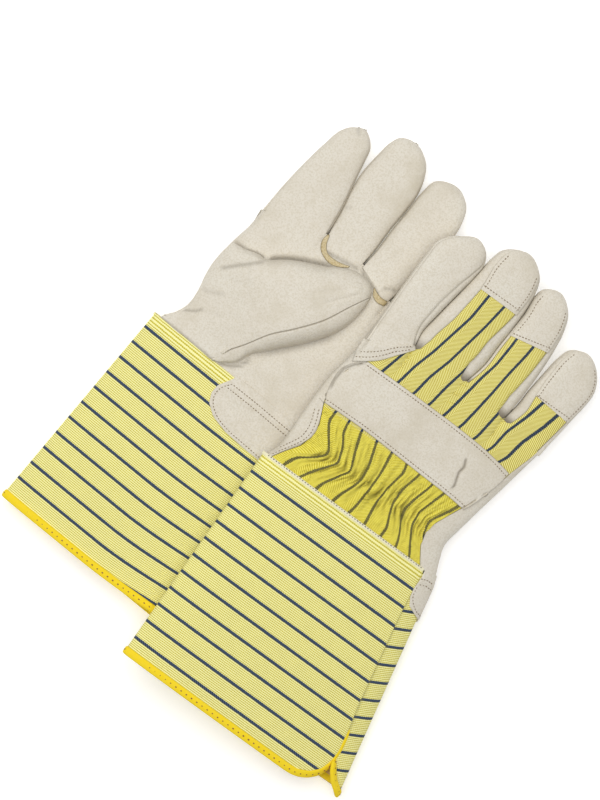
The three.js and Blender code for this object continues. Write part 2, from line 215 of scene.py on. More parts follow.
def clothMaterial(name, look):
    # Yarn-dyed cotton: the map's u counts the dark stripes, and v runs along them in the same unit
    material, tree, shader = newMaterial(name)
    weave = addNode(tree, "ShaderNodeUVMap", uv_map="weave").outputs["UV"]
    split = addNode(tree, "ShaderNodeSeparateXYZ", {"Vector": weave})
    u, v = split.outputs["X"], split.outputs["Y"]
    wobble = addNode(tree, "ShaderNodeTexNoise", {"Vector": weave, "Scale": 5, "Detail": 3})
    drift = calc(tree, "MULTIPLY", calc(tree, "SUBTRACT", wobble.outputs["Fac"], 0.5), look["drift"])
    u = calc(tree, "ADD", u, drift)
    # herringbone: the diagonal turns back at each column
    across = calc(tree, "PINGPONG", calc(tree, "MULTIPLY", u, look["columns"]), 1)
    lengthwise = calc(tree, "MULTIPLY", v, look["twill"])
    along = calc(tree, "ADD", lengthwise, calc(tree, "MULTIPLY", across, look["slant"]))
    diagonal = wave(tree, along)
    rib = wave(tree, calc(tree, "MULTIPLY", u, look["ribs"]))
    weft = wave(tree, calc(tree, "MULTIPLY", v, look["weft"]))
    slub = addNode(tree, "ShaderNodeTexNoise", {"Vector": weave, "Scale": 45, "Detail": 3, "Roughness": 0.7})
    parts = [(diagonal, look["diagonalShare"]), (rib, look["ribShare"]), (weft, look["weftShare"])]
    yarn = calc(tree, "MULTIPLY", slub.outputs["Fac"], look["slubShare"])
    for part, share in parts:
        yarn = calc(tree, "MULTIPLY_ADD", part, share, yarn)
    patchy = addNode(tree, "ShaderNodeTexNoise", {"Vector": weave, "Scale": 1.6, "Detail": 3})
    wear = ramp(tree, patchy.outputs["Fac"], [(0.35, 0.0), (0.7, 1.0)])
    yellow = mixColours(tree, wear, look["yellow"], look["worn"])
    ground = mixColours(tree, ramp(tree, yarn, [(0.36, 0.0), (0.66, 1.0)]), yellow, look["cream"])
    # the stripe's edges are serrated by the yarns that cross it
    off = calc(tree, "PINGPONG", u, 0.5)
    teeth = wave(tree, calc(tree, "MULTIPLY", v, look["serration"]))
    off = calc(tree, "MULTIPLY_ADD", teeth, look["teeth"], off)
    edge, blur = 2 * look["stripe"], 0.035
    stripe = ramp(tree, calc(tree, "MULTIPLY", off, 2), [(0, 1.0), (edge, 1.0), (edge + blur, 0.0), (1, 0.0)])
    turns = wave(tree, calc(tree, "MULTIPLY_ADD", u, 16, calc(tree, "MULTIPLY", v, look["twist"])))
    flecks = ramp(tree, calc(tree, "MULTIPLY", turns, slub.outputs["Fac"]), [(0.26, 0.0), (0.5, 1.0)])
    dark = mixColours(tree, calc(tree, "MULTIPLY", flecks, look["fleck"]), look["navy"], look["fleckColour"])
    # painted shade: the colour is darkened towards olive in the cloth's folds and along its seams
    hollow = addNode(tree, "ShaderNodeAttribute", attribute_name="hollow").outputs["Fac"]
    striped = mixColours(tree, stripe, ground, dark)
    tree.links.new(mixColours(tree, hollow, striped, "#7A7330"), shader.inputs["Base Color"])
    spot = addNode(tree, "ShaderNodeTexCoord").outputs["Object"]
    creased = addNode(tree, "ShaderNodeTexNoise", {"Vector": spot, "Scale": 170, "Detail": 4, "Distortion": 0.8})
    crumpled = {"Strength": look["crumple"], "Distance": 0.0016, "Height": creased.outputs["Fac"]}
    soft = addNode(tree, "ShaderNodeBump", crumpled)
    woven = {"Strength": 0.6, "Distance": 0.0005, "Height": yarn, "Normal": soft.outputs["Normal"]}
    bump = addNode(tree, "ShaderNodeBump", woven)
    tree.links.new(bump.outputs["Normal"], shader.inputs["Normal"])
    shader.inputs["Roughness"].default_value = 0.85
    shader.inputs["Specular IOR Level"].default_value = 0.2
    shader.inputs["Sheen Weight"].default_value = 0.06
    return material


def threadMaterial(name, colour, scale=900, fade=0.25):
    # Spun cotton or polyester: matte, with a fibrous break-up of one dyed colour
    material, tree, shader = newMaterial(name)
    spot = addNode(tree, "ShaderNodeTexCoord").outputs["Object"]
    fuzz = addNode(tree, "ShaderNodeTexNoise", {"Vector": spot, "Scale": scale, "Detail": 3})
    pale = mixColours(tree, fade, colour, "#FFFFFF")
    tree.links.new(mixColours(tree, fuzz.outputs["Fac"], colour, pale), shader.inputs["Base Color"])
    bump = addNode(tree, "ShaderNodeBump", {"Strength": 0.4, "Distance": 0.0002, "Height": fuzz.outputs["Fac"]})
    tree.links.new(bump.outputs["Normal"], shader.inputs["Normal"])
    shader.inputs["Roughness"].default_value = 0.85
    shader.inputs["Specular IOR Level"].default_value = 0.2
    return material


leather = leatherMaterial("grainCowhide", "#DDD6C8", "#CCC3AF", "#E0DBCE")
weltLeather = leatherMaterial("splitCowhide", "#CFC09B", "#AE9868", "#DCCFAE")
twillLook = {
    "yellow": "#B9A52B", "worn": "#C4B42F", "cream": "#FBF3A0", "navy": "#22303F", "fleckColour": "#66748A",
    "drift": 0.03, "columns": 1.33, "twill": 11, "slant": 5.5, "ribs": 0, "weft": 0, "serration": 9.0,
    "teeth": 0.022, "stripe": 0.078, "fleck": 0.7, "twist": 8, "diagonalShare": 0.75, "ribShare": 0,
    "weftShare": 0, "slubShare": 0.35, "crumple": 0.2,
}
gatherLook = {
    **twillLook, "yellow": "#CDBA22", "worn": "#DACA34", "cream": "#F7EC72", "navy": "#2F3436",
    "fleckColour": "#B9AD4C", "diagonalShare": 0.4, "slubShare": 0.6, "fleck": 1.0, "twist": 5.5,
    "teeth": 0.03, "drift": 0.06, "stripe": 0.09, "crumple": 1.3,
}
cuffLook = {
    **twillLook, "yellow": "#C4B52F", "worn": "#CFC03A", "cream": "#FDF9B0", "navy": "#2C3B50", "ribs": 10.0,
    "weft": 9.0, "diagonalShare": 0, "ribShare": 0.62, "weftShare": 0.22, "slubShare": 0.35, "serration": 8.0,
    "teeth": 0.012, "stripe": 0.076, "crumple": 0.15,
}
twillCloth = clothMaterial("stripedTwill", twillLook)
gatherCloth = clothMaterial("stripedTwillGathered", gatherLook)
cuffCloth = clothMaterial("ribbedCanvas", cuffLook)
bindingCloth = threadMaterial("cottonBinding", "#F5D60A", 500, 0.04)
tapeCloth = threadMaterial("selvageTape", "#EBE4BC", 700)
tanInside = threadMaterial("cuffLiningTan", "#C9A24E", 500)
elasticWeb = threadMaterial("elasticWebbing", "#ECE8DA", 600)
fleeceCloth = threadMaterial("brushedFleece", "#F0ECE0", 400)
brownThread = threadMaterial("brownThread", "#73592A")
darkThread = threadMaterial("darkThread", "#3C3526", fade=0.1)
redThread = threadMaterial("redThread", "#7C2D12", fade=0.1)
print("materials made")


# ---- making a piece ----
surfaces = {side: [] for side in lying}  # points and faces drawn so far on each glove, in its own frame


def outwardOf(grid, inside):
    # unit normals of a grid of points, pointing away from the inside
    normal = np.cross(np.gradient(grid, axis=1), np.gradient(grid, axis=0))
    size = np.linalg.norm(normal, axis=2, keepdims=True)
    away = grid - inside
    away /= np.maximum(np.linalg.norm(away, axis=2, keepdims=True), 1e-6)
    if (normal * away).sum() < 0:
        normal = -normal
    # where a grid closes to a point its normals are unsure, so they turn to the way out
    sure = size / (size + 0.04)
    mixed = normal / np.maximum(size, 1e-9) * sure + away * (1 - sure)
    return mixed / np.maximum(np.linalg.norm(mixed, axis=2, keepdims=True), 1e-9)


def meshPiece(name, side, points, faces, materials, uv=None, slots=None, hollow=None):
    mesh = bpy.data.meshes.new(name)
    mesh.from_pydata(inWorld(side, points).tolist(), [], faces)
    for material in materials:
        mesh.materials.append(material)
    if slots is not None:
        mesh.polygons.foreach_set("material_index", slots)
    if uv is not None:
        layer = mesh.uv_layers.new(name="weave")
        corners = np.zeros(len(mesh.loops), int)
        mesh.loops.foreach_get("vertex_index", corners)
        layer.data.foreach_set("uv", np.asarray(uv, float)[corners].ravel())
    # per-point painted shade, which the materials darken the colour by
    if hollow is not None:
        mesh.attributes.new("hollow", "FLOAT", "POINT").data.foreach_set("value", hollow)
    body = bmesh.new()
    body.from_mesh(mesh)
    bmesh.ops.remove_doubles(body, verts=body.verts, dist=2e-6)
    bmesh.ops.recalc_face_normals(body, faces=body.faces)
    body.to_mesh(mesh)
    body.free()
    mesh.shade_smooth()
    mesh.set_sharp_from_angle(angle=math.radians(52))
    made = bpy.data.objects.new(name, mesh)
    bpy.context.scene.collection.objects.link(made)
    return made


def gridFaces(rows, columns, first=0):
    return [
        tuple(first + r * columns + c for r, c in ((r, c), (r, c + 1), (r + 1, c + 1), (r + 1, c)))
        for r in range(rows - 1)
        for c in range(columns - 1)
    ]


def rimFaces(rows, columns, first):
    # the quads between the edge of a grid and the edge of the same grid behind it
    ring = [c for c in range(columns)] + [r * columns + columns - 1 for r in range(1, rows)]
    ring += [(rows - 1) * columns + c for c in range(columns - 2, -1, -1)]
    ring += [r * columns for r in range(rows - 2, 0, -1)]
    count = rows * columns
    pairs = zip(ring, ring[1:] + ring[:1])
    return [(first + a, first + b, first + b + count, first + a + count) for a, b in pairs]


def sheetPiece(name, side, parts, materials, keep=True):
    # one piece from one or more sheets; the last material is its inner face
    points, faces, slots, uvs, hollows = [], [], [], [], []
    for part in parts:
        grid, inside = part["grid"], part["inside"]
        rows, columns = grid.shape[:2]
        count = rows * columns
        back = grid - outwardOf(grid, inside) * part["thickness"]
        first = sum(len(p) for p in points)
        outer = gridFaces(rows, columns, first)
        inner = [tuple(i + count for i in reversed(quad)) for quad in outer]
        edge = rimFaces(rows, columns, first)
        points.append(np.concatenate([grid.reshape(-1, 3), back.reshape(-1, 3)]))
        uv = part.get("uv")
        uv = np.zeros((count, 2)) if uv is None else uv.reshape(-1, 2)
        uvs.append(np.concatenate([uv, uv]))
        # each sheet's painted shade, the same on both its faces
        hollow = part.get("hollow")
        hollow = np.zeros(count) if hollow is None else hollow.ravel()
        hollows.append(np.concatenate([hollow, hollow]))
        faces += outer + inner + edge
        slots += [0] * len(outer) + [len(materials) - 1] * len(inner) + [0] * len(edge)
        if keep:
            surfaces[side].append((grid.reshape(-1, 3), gridFaces(rows, columns)))
    flat = [np.concatenate(each) for each in (points, uvs, hollows)]
    return meshPiece(name, side, flat[0], faces, materials, flat[1], slots, flat[2])


def sheetOf(grid, inside, thickness, **more):
    return {"grid": grid, "inside": inside, "thickness": thickness, **more}


def caster(side):
    # a function that finds the glove's surface and its normal over x and y, seen from its back or palm
    points, faces, first = [], [], 0
    for each, quads in surfaces[side]:
        points += each.tolist()
        faces += [[i + first for i in quad] for quad in quads]
        first += len(each)
    tree = BVHTree.FromPolygons(points, faces)

    def cast(x, y, face):
        spot, normal, _, _ = tree.ray_cast(Vector((x, y, 80 * face)), Vector((0, 0, -face)))
        if spot is None:
            spot, normal, _, _ = tree.find_nearest(Vector((x, y, 4 * face)))
        return spot, normal if normal.z * face > 0 else -normal

    return cast


def along(points, count):
    return curveThrough(points, np.linspace(0, 1, count))


def coons(top, bottom, left, right, rows, columns):
    # a plan grid between four curves: top and bottom run from left to right, left and right from top to bottom
    a, b = along(top, columns), along(bottom, columns)
    c, d = along(left, rows), along(right, rows)
    r, s = np.linspace(0, 1, rows)[:, None, None], np.linspace(0, 1, columns)[None, :, None]
    corners = (1 - r) * ((1 - s) * a[0] + s * a[-1]) + r * ((1 - s) * b[0] + s * b[-1])
    return (1 - r) * a[None] + r * b[None] + (1 - s) * c[:, None] + s * d[:, None] - corners


def laid(side, plan, face, thickness, lift=0.1, rounds=3, edge=0.35, sink=None):
    # a sheet laid over what is there: it bridges small hollows, and its cut edge is a little lower
    cast = caster(side)
    rows, columns = plan.shape[:2]
    top = np.array([[cast(*plan[r, c], face)[0].z * face for c in range(columns)] for r in range(rows)])
    for _ in range(rounds):
        wide = np.pad(top, 1, mode="edge")
        mean = (wide[:-2, 1:-1] + wide[2:, 1:-1] + wide[1:-1, :-2] + wide[1:-1, 2:]) / 4
        top = np.maximum(top, mean)
    top += thickness + lift
    top[[0, -1]] -= edge
    top[1:-1, [0, -1]] -= edge
    if sink == "top":
        top -= ((1 - smooth(0, 0.3, np.linspace(0, 1, rows))) * (thickness + lift + 0.3))[:, None]
    if sink == "left":
        top -= ((1 - smooth(0, 0.4, np.linspace(0, 1, columns))) * (thickness + lift + 0.3))[None, :]
    grid = np.concatenate([plan, (top * face)[..., None]], 2)
    return grid, grid - (0, 0, 20 * face)


def distanceTo(x, y, line):
    # from each point of a plan to a polyline, with the share of its length where it is nearest
    line = np.asarray(line, float)
    step = np.r_[0, np.cumsum(np.linalg.norm(np.diff(line, axis=0), axis=1))]
    best, share = np.full(x.shape, 1e9), np.zeros(x.shape)
    for i in range(len(line) - 1):
        d = line[i + 1] - line[i]
        t = np.clip(((x - line[i, 0]) * d[0] + (y - line[i, 1]) * d[1]) / (d @ d), 0, 1)
        gap = np.hypot(x - line[i, 0] - t * d[0], y - line[i, 1] - t * d[1])
        share = np.where(gap < best, (step[i] + t * (step[i + 1] - step[i])) / step[-1], share)
        best = np.minimum(best, gap)
    return best, share


def dented(grid, face, dents):
    # presses creases into the side of a grid that faces up and paints shade into them: each is (line, depth,
    # width, darkness of the painted shade)
    x, y = grid[..., 0], grid[..., 1]
    hollow = np.zeros(x.shape)
    up = grid[..., 2] * face > 1
    for line, deep, width, dark in dents:
        gap, share = distanceTo(x, y, line)
        press = np.exp(-((gap / width) ** 2)) * smooth(0, 0.12, share) * (1 - smooth(0.85, 1, share)) * up
        grid[..., 2] -= face * deep * press
        hollow = np.maximum(hollow, dark * press)
    return hollow


# ---- the hand ----

handPower = 3
fingerPower = 3.2
depth = 10
wall = {"leather": 1.5, "cloth": 1.0}
fingerBase = 0.62  # depth of the dip at a crotch, as a share of the finger's own depth
fingerMiddle = 1  # a finger's middle plane lies this far towards the back
fingerDepth = 9
tuck = 1.6  # the hand's pieces run this far into the fingers

# Rows up the hand: y, index edge, little edge, index seam and little seam of the back cloth
hands = {
    "right": [
        [0, -62.5, 71.2, -60, 58],
        [5, -60.5, 68.6, -58, 54.5],
        [12, -57.5, 66, -53.5, 50],
        [20, -57, 63, -48, 48],
        [27, -57.2, 64.5, -46, 49],
        [37, -57.5, 66.5, -46, 54],
        [50, -57.5, 69, -51.5, 60.5],
        [65, -57, 72.3, -54, 67],
        [80, -54, 75.3, -49, 71],
        [96, -52, 78.3, -34, 75.5],
        [110, -52, 81, -24, 79],
    ],
    "left": [
        [0, -60.5, 70, -59, 58],
        [5, -56, 67, -56, 54],
        [14, -51.5, 64, -49, 50],
        [20, -50.5, 61, -46, 48],
        [30, -52, 61, -45, 49],
        [40, -55, 61, -46, 53],
        [50, -56, 62, -50, 56],
        [66, -55, 64, -52, 60],
        [80, -53, 66, -47, 62],
        [95, -53, 68, -34, 65],
        [106, -53.3, 69, -24, 67],
    ],
}
# The line where the fingers leave the hand: x and y at the two edges and the three crotches
crotches = {
    "right": [(-52, 97), (-24.5, 109.5), (14, 110), (47, 105), (79.1, 99)],
    "left": [(-53.1, 93), (-12, 105), (17, 105), (44, 98), (68.4, 96)],
}
# Dark stripes of the back cloth: y, then the x of each stripe
stripes = [
    [-5, -51, -40, -25, -12, 0, 13, 25.5, 38, 49, 61],
    [2, -50, -38, -25, -12, 0.5, 13, 25.5, 37.5, 48, 60],
    [8, -48, -34.5, -23.5, -10.5, 2, 12.2, 26, 35.5, 44, 56],
    [13, -45, -31, -20.5, -8.5, 2.4, 11.6, 24, 33, 41, 51.5],
    [18, -37.5, -27, -17.5, -6.2, 2.7, 11, 21.7, 30, 38, 47],
    [24, -31, -22.5, -13.2, -4.7, 3, 11.5, 20, 28, 37.3, 46.2],
    [28, -32, -23.8, -14.5, -5, 3, 11.8, 20, 28.8, 37, 46],
    [34, -36.5, -25.7, -17.2, -5.7, 3, 13, 20, 30.2, 39, 49.5],
    [42, -42, -31, -20, -8.4, 2, 14.8, 22, 32.7, 41.4, 54],
    [50, -42, -32, -22.5, -11, 1, 12.5, 24, 34.5, 44, 57],
    [87, -32.5, -20.5, -8.5, 3.5, 15, 27.5, 39.5, 51.5, 62.5, 79],
    [100, -29, -18, -6.5, 5.5, 17.5, 29.5, 41.2, 53, 64.5, 83],
    [115, -25, -13.5, -2, 8.8, 20, 31.5, 43, 58.3, 70, 89],
    [130, -22, -10, 1, 12, 23.5, 33, 45, 62, 74, 93],
    [145, -19, -6.5, 4, 14.5, 24.5, 35.3, 47.5, 64.5, 76.5, 96],
    [165, -17, -5, 7, 18, 25, 37, 50, 68, 80, 99],
]


backPitch = 12.0  # between two stripes of the back cloth


def weaveOf(x, y):
    # the cloth's map: whole numbers of u are stripes, and v runs along them in the same unit
    fine = np.arange(-6, 200, 1.0)
    ys = column(stripes, 0)
    mean = np.ones(5) / 5
    count = len(stripes[0]) - 1
    lines = [np.convolve(np.interp(fine, ys, column(stripes, k + 1)), mean, "same") for k in range(count)]
    at = np.array([np.interp(y.ravel(), fine[3:-3], line[3:-3]) for line in lines])
    u = np.empty(x.size)
    for i, value in enumerate(x.ravel()):
        xs = at[:, i]
        k = int(np.clip(np.searchsorted(xs, value) - 1, 0, count - 2))
        u[i] = k + 1 + (value - xs[k]) / (xs[k + 1] - xs[k])
    # beyond the first stripe the cloth is plain
    margin = 0.42
    u = np.where(u < 1, 1 - margin * (1 - np.exp(-(1 - u) / margin)), u)
    return np.stack([u.reshape(x.shape), y / backPitch], -1)


def handAt(side, y, k):
    return np.interp(y, column(hands[side], 0), column(hands[side], k))


def handEdges(side, y):
    # smoothed so that the outline has no corners
    around = [handAt(side, y + step, k) for k in (1, 2) for step in (-4, -2, 0, 2, 4)]
    return sum(around[:5]) / 5, sum(around[5:]) / 5


def power(value, exponent):
    return np.sign(value) * np.abs(value) ** exponent


def angleOf(x, low, high, exponent):
    share = np.clip((x - (low + high) / 2) / ((high - low) / 2), -1, 1)
    return np.degrees(np.arccos(power(share, exponent / 2)))


def endLine(side, x):
    return np.interp(x, column(crotches[side], 0), column(crotches[side], 1))


def knuckleRise(side, x):
    # how high the surface stands where the fingers leave the hand, with a dip at each crotch
    xs = np.array(column(crotches[side], 0))
    i = np.clip(np.searchsorted(xs, x) - 1, 0, 3)
    share = np.clip(2 * (x - xs[i]) / (xs[i + 1] - xs[i]) - 1, -1, 1)
    return fingerBase + (1 - fingerBase) * (1 - np.abs(share) ** fingerPower) ** (1 / fingerPower)


def handGrid(side, rows, fromAngle, toAngle, steps, lift=0.0):
    # a grid on the hand's surface; fromAngle and toAngle give the section's angle at each y
    grid = np.zeros((len(rows), steps + 1, 3))
    for r, y in enumerate(rows):
        low, high = handEdges(side, y)
        t = np.radians(np.linspace(fromAngle(y, low, high), toAngle(y, low, high), steps + 1))
        x = (low + high) / 2 + (high - low) / 2 * power(np.cos(t), 2 / handPower)
        z = depth * power(np.sin(t), 2 / handPower)
        near = smooth(74, 100, y)
        rise = knuckleRise(side, x) * smooth(0, 0.35, np.abs(np.sin(t)))
        finger = fingerMiddle + fingerDepth * np.sign(np.sin(t)) * rise
        z = (z * (1 - near) + finger * near) * (1 - 0.06 * smooth(100, 100 + tuck, y))
        slide = smooth(70, 100, y) * (endLine(side, x) - 100)
        grid[r, :, 0], grid[r, :, 1], grid[r, :, 2] = x, y + slide, z
    if lift:
        grid += outwardOf(grid, grid * (1, 1, 0)) * lift
    return grid


def handMiddle(grid):
    inside = grid.copy()
    inside[..., 2] = 0
    inside[..., 0] = np.clip(inside[..., 0], -45, 55)
    return inside


def seamAngle(side, k, gap):
    return lambda y, low, high: angleOf(handAt(side, y, k) + gap, low, high, handPower)


def gatherFolds(grid, uv):
    # soft folds along the cloth where the elastic pulls it in, strongest at the wrist's waist
    y, u = grid[..., 1], uv[..., 0]
    pull = np.exp(-(((y - 23) / 11) ** 2)) + 0.35 * np.exp(-(((y - 40) / 9) ** 2))
    fade = smooth(-1, 6, y) * (1 - smooth(44, 50, y))
    folds = np.sin(math.tau * (u + 0.18 * np.sin(y / 7)) + 0.8) + 0.7 * np.sin(math.tau * u * 2.3 + 1.7 + y / 9)
    folds += 0.55 * np.sin(math.tau * u * 3.7 + 0.4 - y / 6)
    waist = np.exp(-(((y - 23) / 7) ** 2))
    pucker = np.sin(y / 1.5 + 2.5 * np.sin(u * 1.9)) + 0.8 * np.sin(y / 2.3 - 3 * np.sin(u * 3.1 + 1))
    crease = (np.mod(u * 1.7 + 0.3 * np.sin(y / 4.5 + 2 * np.sin(u)), 1) - 0.5) / 0.15
    broad = np.exp(-(((y - 22) / 11) ** 2)) * (0.65 + 0.35 * np.sin(u * 2.9 + y / 5))
    raised = pull * folds * 0.8 + 0.45 * pucker * waist - 1.5 * np.exp(-(crease**2)) * broad
    return fade * (raised - 0.4 * pull)


def moved(side, points, origin):
    # points drawn on one glove's hand, carried to the other's: they keep their share of the width,
    # and stay as far below the fingers
    if side == origin:
        return points
    out = []
    for x, y in points:
        low, high = handAt(origin, y, 1), handAt(origin, y, 2)
        share = (x - low) / (high - low)
        newX = handAt(side, y, 1) * (1 - share) + handAt(side, y, 2) * share
        out.append((newX, y + smooth(70, 100, y) * (endLine(side, newX) - endLine(origin, x))))
    return out


# Creases pressed into the palm, drawn on the left glove: line, depth, width and how dark their painted shade is
palmCreases = [
    ([(-55, 66), (-45, 66.5), (-38, 69), (-31, 69.5)], 1.6, 1.4, 0.35),
    ([(-31, 69.5), (-25, 75.5), (-20, 79.5), (-10, 86), (0, 91), (5, 94)], 3.2, 2.2, 0.5),
    ([(-9, 96), (-5, 98), (5, 100), (15, 102), (18, 105)], 1.3, 1.1, 0.4),
    ([(17, 105), (21, 103), (26, 101), (31, 99.5), (38, 97)], 1.3, 1.1, 0.4),
    ([(-14, 1.2), (-10, 2.8), (-5, 5.6), (-1.2, 9.5), (0.2, 14), (0.8, 18)], 0.6, 1.1, 0.45),
    ([(1, 19), (6, 26), (12.5, 34.5), (20.5, 44.5), (27.5, 54.5), (32.5, 64)], 0.3, 2.4, 0.2),
    ([(18, 106), (19.2, 103), (22, 101), (27, 98)], 0.8, 0.8, 0.5),
]


def addHand(side):
    rows = np.r_[np.linspace(0.2, 50, 56), np.linspace(51.2, 100, 50), 100 + tuck]
    # back cloth
    grid = handGrid(side, rows, seamAngle(side, 4, -0.4), seamAngle(side, 3, 0.4), 260, -0.3)
    uv = weaveOf(grid[..., 0], grid[..., 1])
    folds = gatherFolds(grid, uv)
    grid += outwardOf(grid, handMiddle(grid)) * folds[..., None]
    # painted shade: hollows that are deeper than what is round them are darkened, and so is the cloth at the wrist
    # seam
    wide = np.ones(13) / 13
    level = np.array([np.convolve(np.pad(row, 6, mode="edge"), wide, "valid") for row in folds])
    shade = np.clip(0.5 * (level - folds), 0, 0.75) + 0.4 * smooth(2.5, 0.3, grid[..., 1])
    above = rows > 48
    striped = sheetOf(grid, handMiddle(grid), wall["cloth"], uv=uv, hollow=shade)
    cloth = sheetPiece(f"{side}BackCloth", side, [striped], [twillCloth])
    gathered = np.repeat(~above[:-1], grid.shape[1] - 1)
    slots = np.zeros(len(cloth.data.polygons), int)
    cloth.data.materials.append(gatherCloth)
    slots[: len(gathered)] = gathered
    slots[len(gathered) : 2 * len(gathered)] = gathered
    cloth.data.polygons.foreach_set("material_index", slots)
    # palm, wrapped up round both edges of the hand
    indexSeam, littleSeam = seamAngle(side, 3, 0), seamAngle(side, 4, 0)
    grid = handGrid(side, rows, indexSeam, lambda y, low, high: 360 + littleSeam(y, low, high), 220)
    creases = [(moved(side, line, "left"), *rest) for line, *rest in palmCreases]
    hollow = dented(grid, -1, creases)
    hide = sheetOf(grid, handMiddle(grid), wall["leather"], hollow=hollow)
    palm = sheetPiece(f"{side}Palm", side, [hide], [leather, fleeceCloth])
    # the fleece behind the palm leather, pressed by the same creases
    rows = np.linspace(52, 98, 40)
    grid = handGrid(side, rows, lambda *_: 241, lambda *_: 304, 60, -wall["leather"] - 0.5)
    dented(grid, -1, creases)
    fleece = sheetOf(grid, handMiddle(grid), 0.9)
    lining = sheetPiece(f"{side}PalmLining", side, [fleece], [fleeceCloth], keep=False)
    return {"back_cloth": cloth, "palm": palm, "palm_lining": lining}


def addWebs(side):
    # the small gussets that close the hand between two fingers
    parts = []
    for x, y in crotches[side][1:4]:
        turn, across = np.meshgrid(np.radians(np.linspace(-88, 88, 21)), np.linspace(-5, 5, 13), indexing="ij")
        reach = 1.8 * np.cos(turn) + 0.4 - 0.06 * across**2
        grid = np.stack([x + across, y + reach, fingerMiddle + 6.8 * np.sin(turn)], -1)
        inside = np.full(grid.shape, (x, y - 12, fingerMiddle))
        # painted shade over the whole gusset, deep in the crotch
        parts.append(sheetOf(grid, inside, 0.9, hollow=np.full(turn.shape, 0.6)))
    return sheetPiece(f"{side}Webs", side, parts, [leather], keep=False)


# ---- the fingers ----
# index-side and little-side outlines from the crotch line to the tip; how far the back panel starts in from
# each, at shares of the length; and the two ends of the cap's lower edge
fingers = {
    "right": {
        "index": {
            "low": [(-52, 97), (-51.8, 115), (-51.5, 140), (-51, 160), (-50, 172), (-46, 178), (-39.5, 182.8)],
            "high": [
                (-24.5, 109.5), (-25.5, 120), (-23.5, 135), (-20.5, 153), (-18, 168), (-17.5, 176), (-20.5, 182.5),
            ],
            "tip": (-30, 187.4),
            "inset": [([0, 1], [0.5, 0.4]), ([0, 0.2, 0.4, 0.6, 0.8, 1], [0.6, 4.5, 5.5, 4, 1, 0.5])],
        },
        "middle": {
            "low": [
                (-24.5, 109.5), (-25.5, 120), (-23.3, 135), (-20.3, 153), (-18, 168), (-16, 182), (-13.5, 190),
            ],
            "high": [(14, 110), (18.3, 125), (19, 140), (20, 155), (20.3, 167), (19.3, 179), (16.5, 188.5)],
            "tip": (2, 197.8),
            "inset": [
                ([0, 0.1, 0.3, 0.55, 0.72, 1], [2.5, 6.5, 8, 7, 3.8, 1]),
                ([0, 0.12, 0.3, 0.5, 0.7, 1], [4, 8.3, 7.8, 5, 3.2, 1]),
            ],
            "cap": [(-19, 162), (20, 162)],
        },
        "ring": {
            "low": [(14, 110), (18.3, 125), (19, 140), (20, 155), (20.8, 167), (20, 178), (22.2, 185.5)],
            "high": [(47, 105), (49.3, 118), (50, 132), (50, 148), (49.3, 160), (47.7, 171), (43.5, 181.5)],
            "tip": (31.5, 189.4),
            "inset": [
                ([0, 0.3, 0.6, 1], [0.8, 0.8, 0.8, 0.6]),
                ([0, 0.15, 0.35, 0.55, 0.75, 1], [5.5, 7.5, 5.5, 4, 2.5, 1]),
            ],
            "cap": [(20, 148), (50, 155)],
        },
        "little": {
            "low": [(47, 105), (50, 116), (51, 130), (52.7, 144), (54.5, 156), (57.5, 163.8)],
            "high": [(79.1, 99), (81.8, 114), (84, 130), (85.6, 141), (85.8, 150), (82.5, 158)],
            "tip": (67.5, 168.3),
            "inset": [([0, 0.2, 0.5, 1], [4.5, 5.5, 3, 0.8]), ([0, 0.3, 0.6, 1], [3, 2, 1.2, 0.8])],
            "cap": [(53, 126.5), (85, 126.5)],
        },
    },
    "left": {
        "index": {
            "low": [(-53.1, 93), (-53.2, 110), (-52.2, 130), (-50, 150), (-48, 161), (-44.5, 167)],
            "high": [(-12, 105), (-15, 123), (-18, 135), (-21, 146), (-23.5, 156), (-26.5, 165.5)],
            "tip": (-36, 171.8),
            "inset": [([0, 1], [0.5, 0.4]), ([0, 1], [1.5, 0.6])],
        },
        "middle": {
            "low": [(-12, 105), (-15.2, 123), (-19, 138), (-20.8, 150), (-20.3, 165), (-19, 176.5), (-16.5, 182)],
            "high": [(17, 105), (17, 120), (16, 135), (16, 150), (15, 162), (12, 171.5), (7.5, 179)],
            "tip": (-6, 185.6),
            "inset": [([0, 1], [5, 1]), ([0, 1], [5, 1])],
            "cap": [(-20, 152), (17, 152)],
        },
        "ring": {
            "low": [(17, 105), (17.2, 120), (16.4, 135), (16.2, 150), (15.8, 165), (17.5, 175)],
            "high": [(44, 98), (46, 112), (48, 127), (49.3, 142), (49.3, 156), (47.5, 166), (43.5, 175)],
            "tip": (31.5, 181.3),
            "inset": [([0, 1], [4, 1]), ([0, 1], [4, 1])],
            "cap": [(16, 146), (50, 146)],
        },
        "little": {
            "low": [(44, 98), (46.3, 112), (48.2, 126), (49.6, 138), (52, 147)],
            "high": [(68.4, 96), (70.6, 110), (72.5, 124), (73, 136), (71.5, 146)],
            "tip": (61.5, 154.3),
            "inset": [([0, 1], [3, 1]), ([0, 1], [3, 1])],
            "cap": [(48, 122), (73, 122)],
        },
    },
}
under = 14  # the seam to the palm leather lies this many degrees below a finger's edge


def fingerRows(finger, shares):
    # the two outlines meet at the tip in one smooth curve
    line = curveThrough([*finger["low"], finger["tip"], *reversed(finger["high"])], np.linspace(0, 1, 1500))
    top = int(np.argmin(np.hypot(*(line - finger["tip"]).T)))
    low, high = line[: top + 1], line[top:][::-1]
    return curveThrough(low[::8], shares), curveThrough(high[::8], shares)


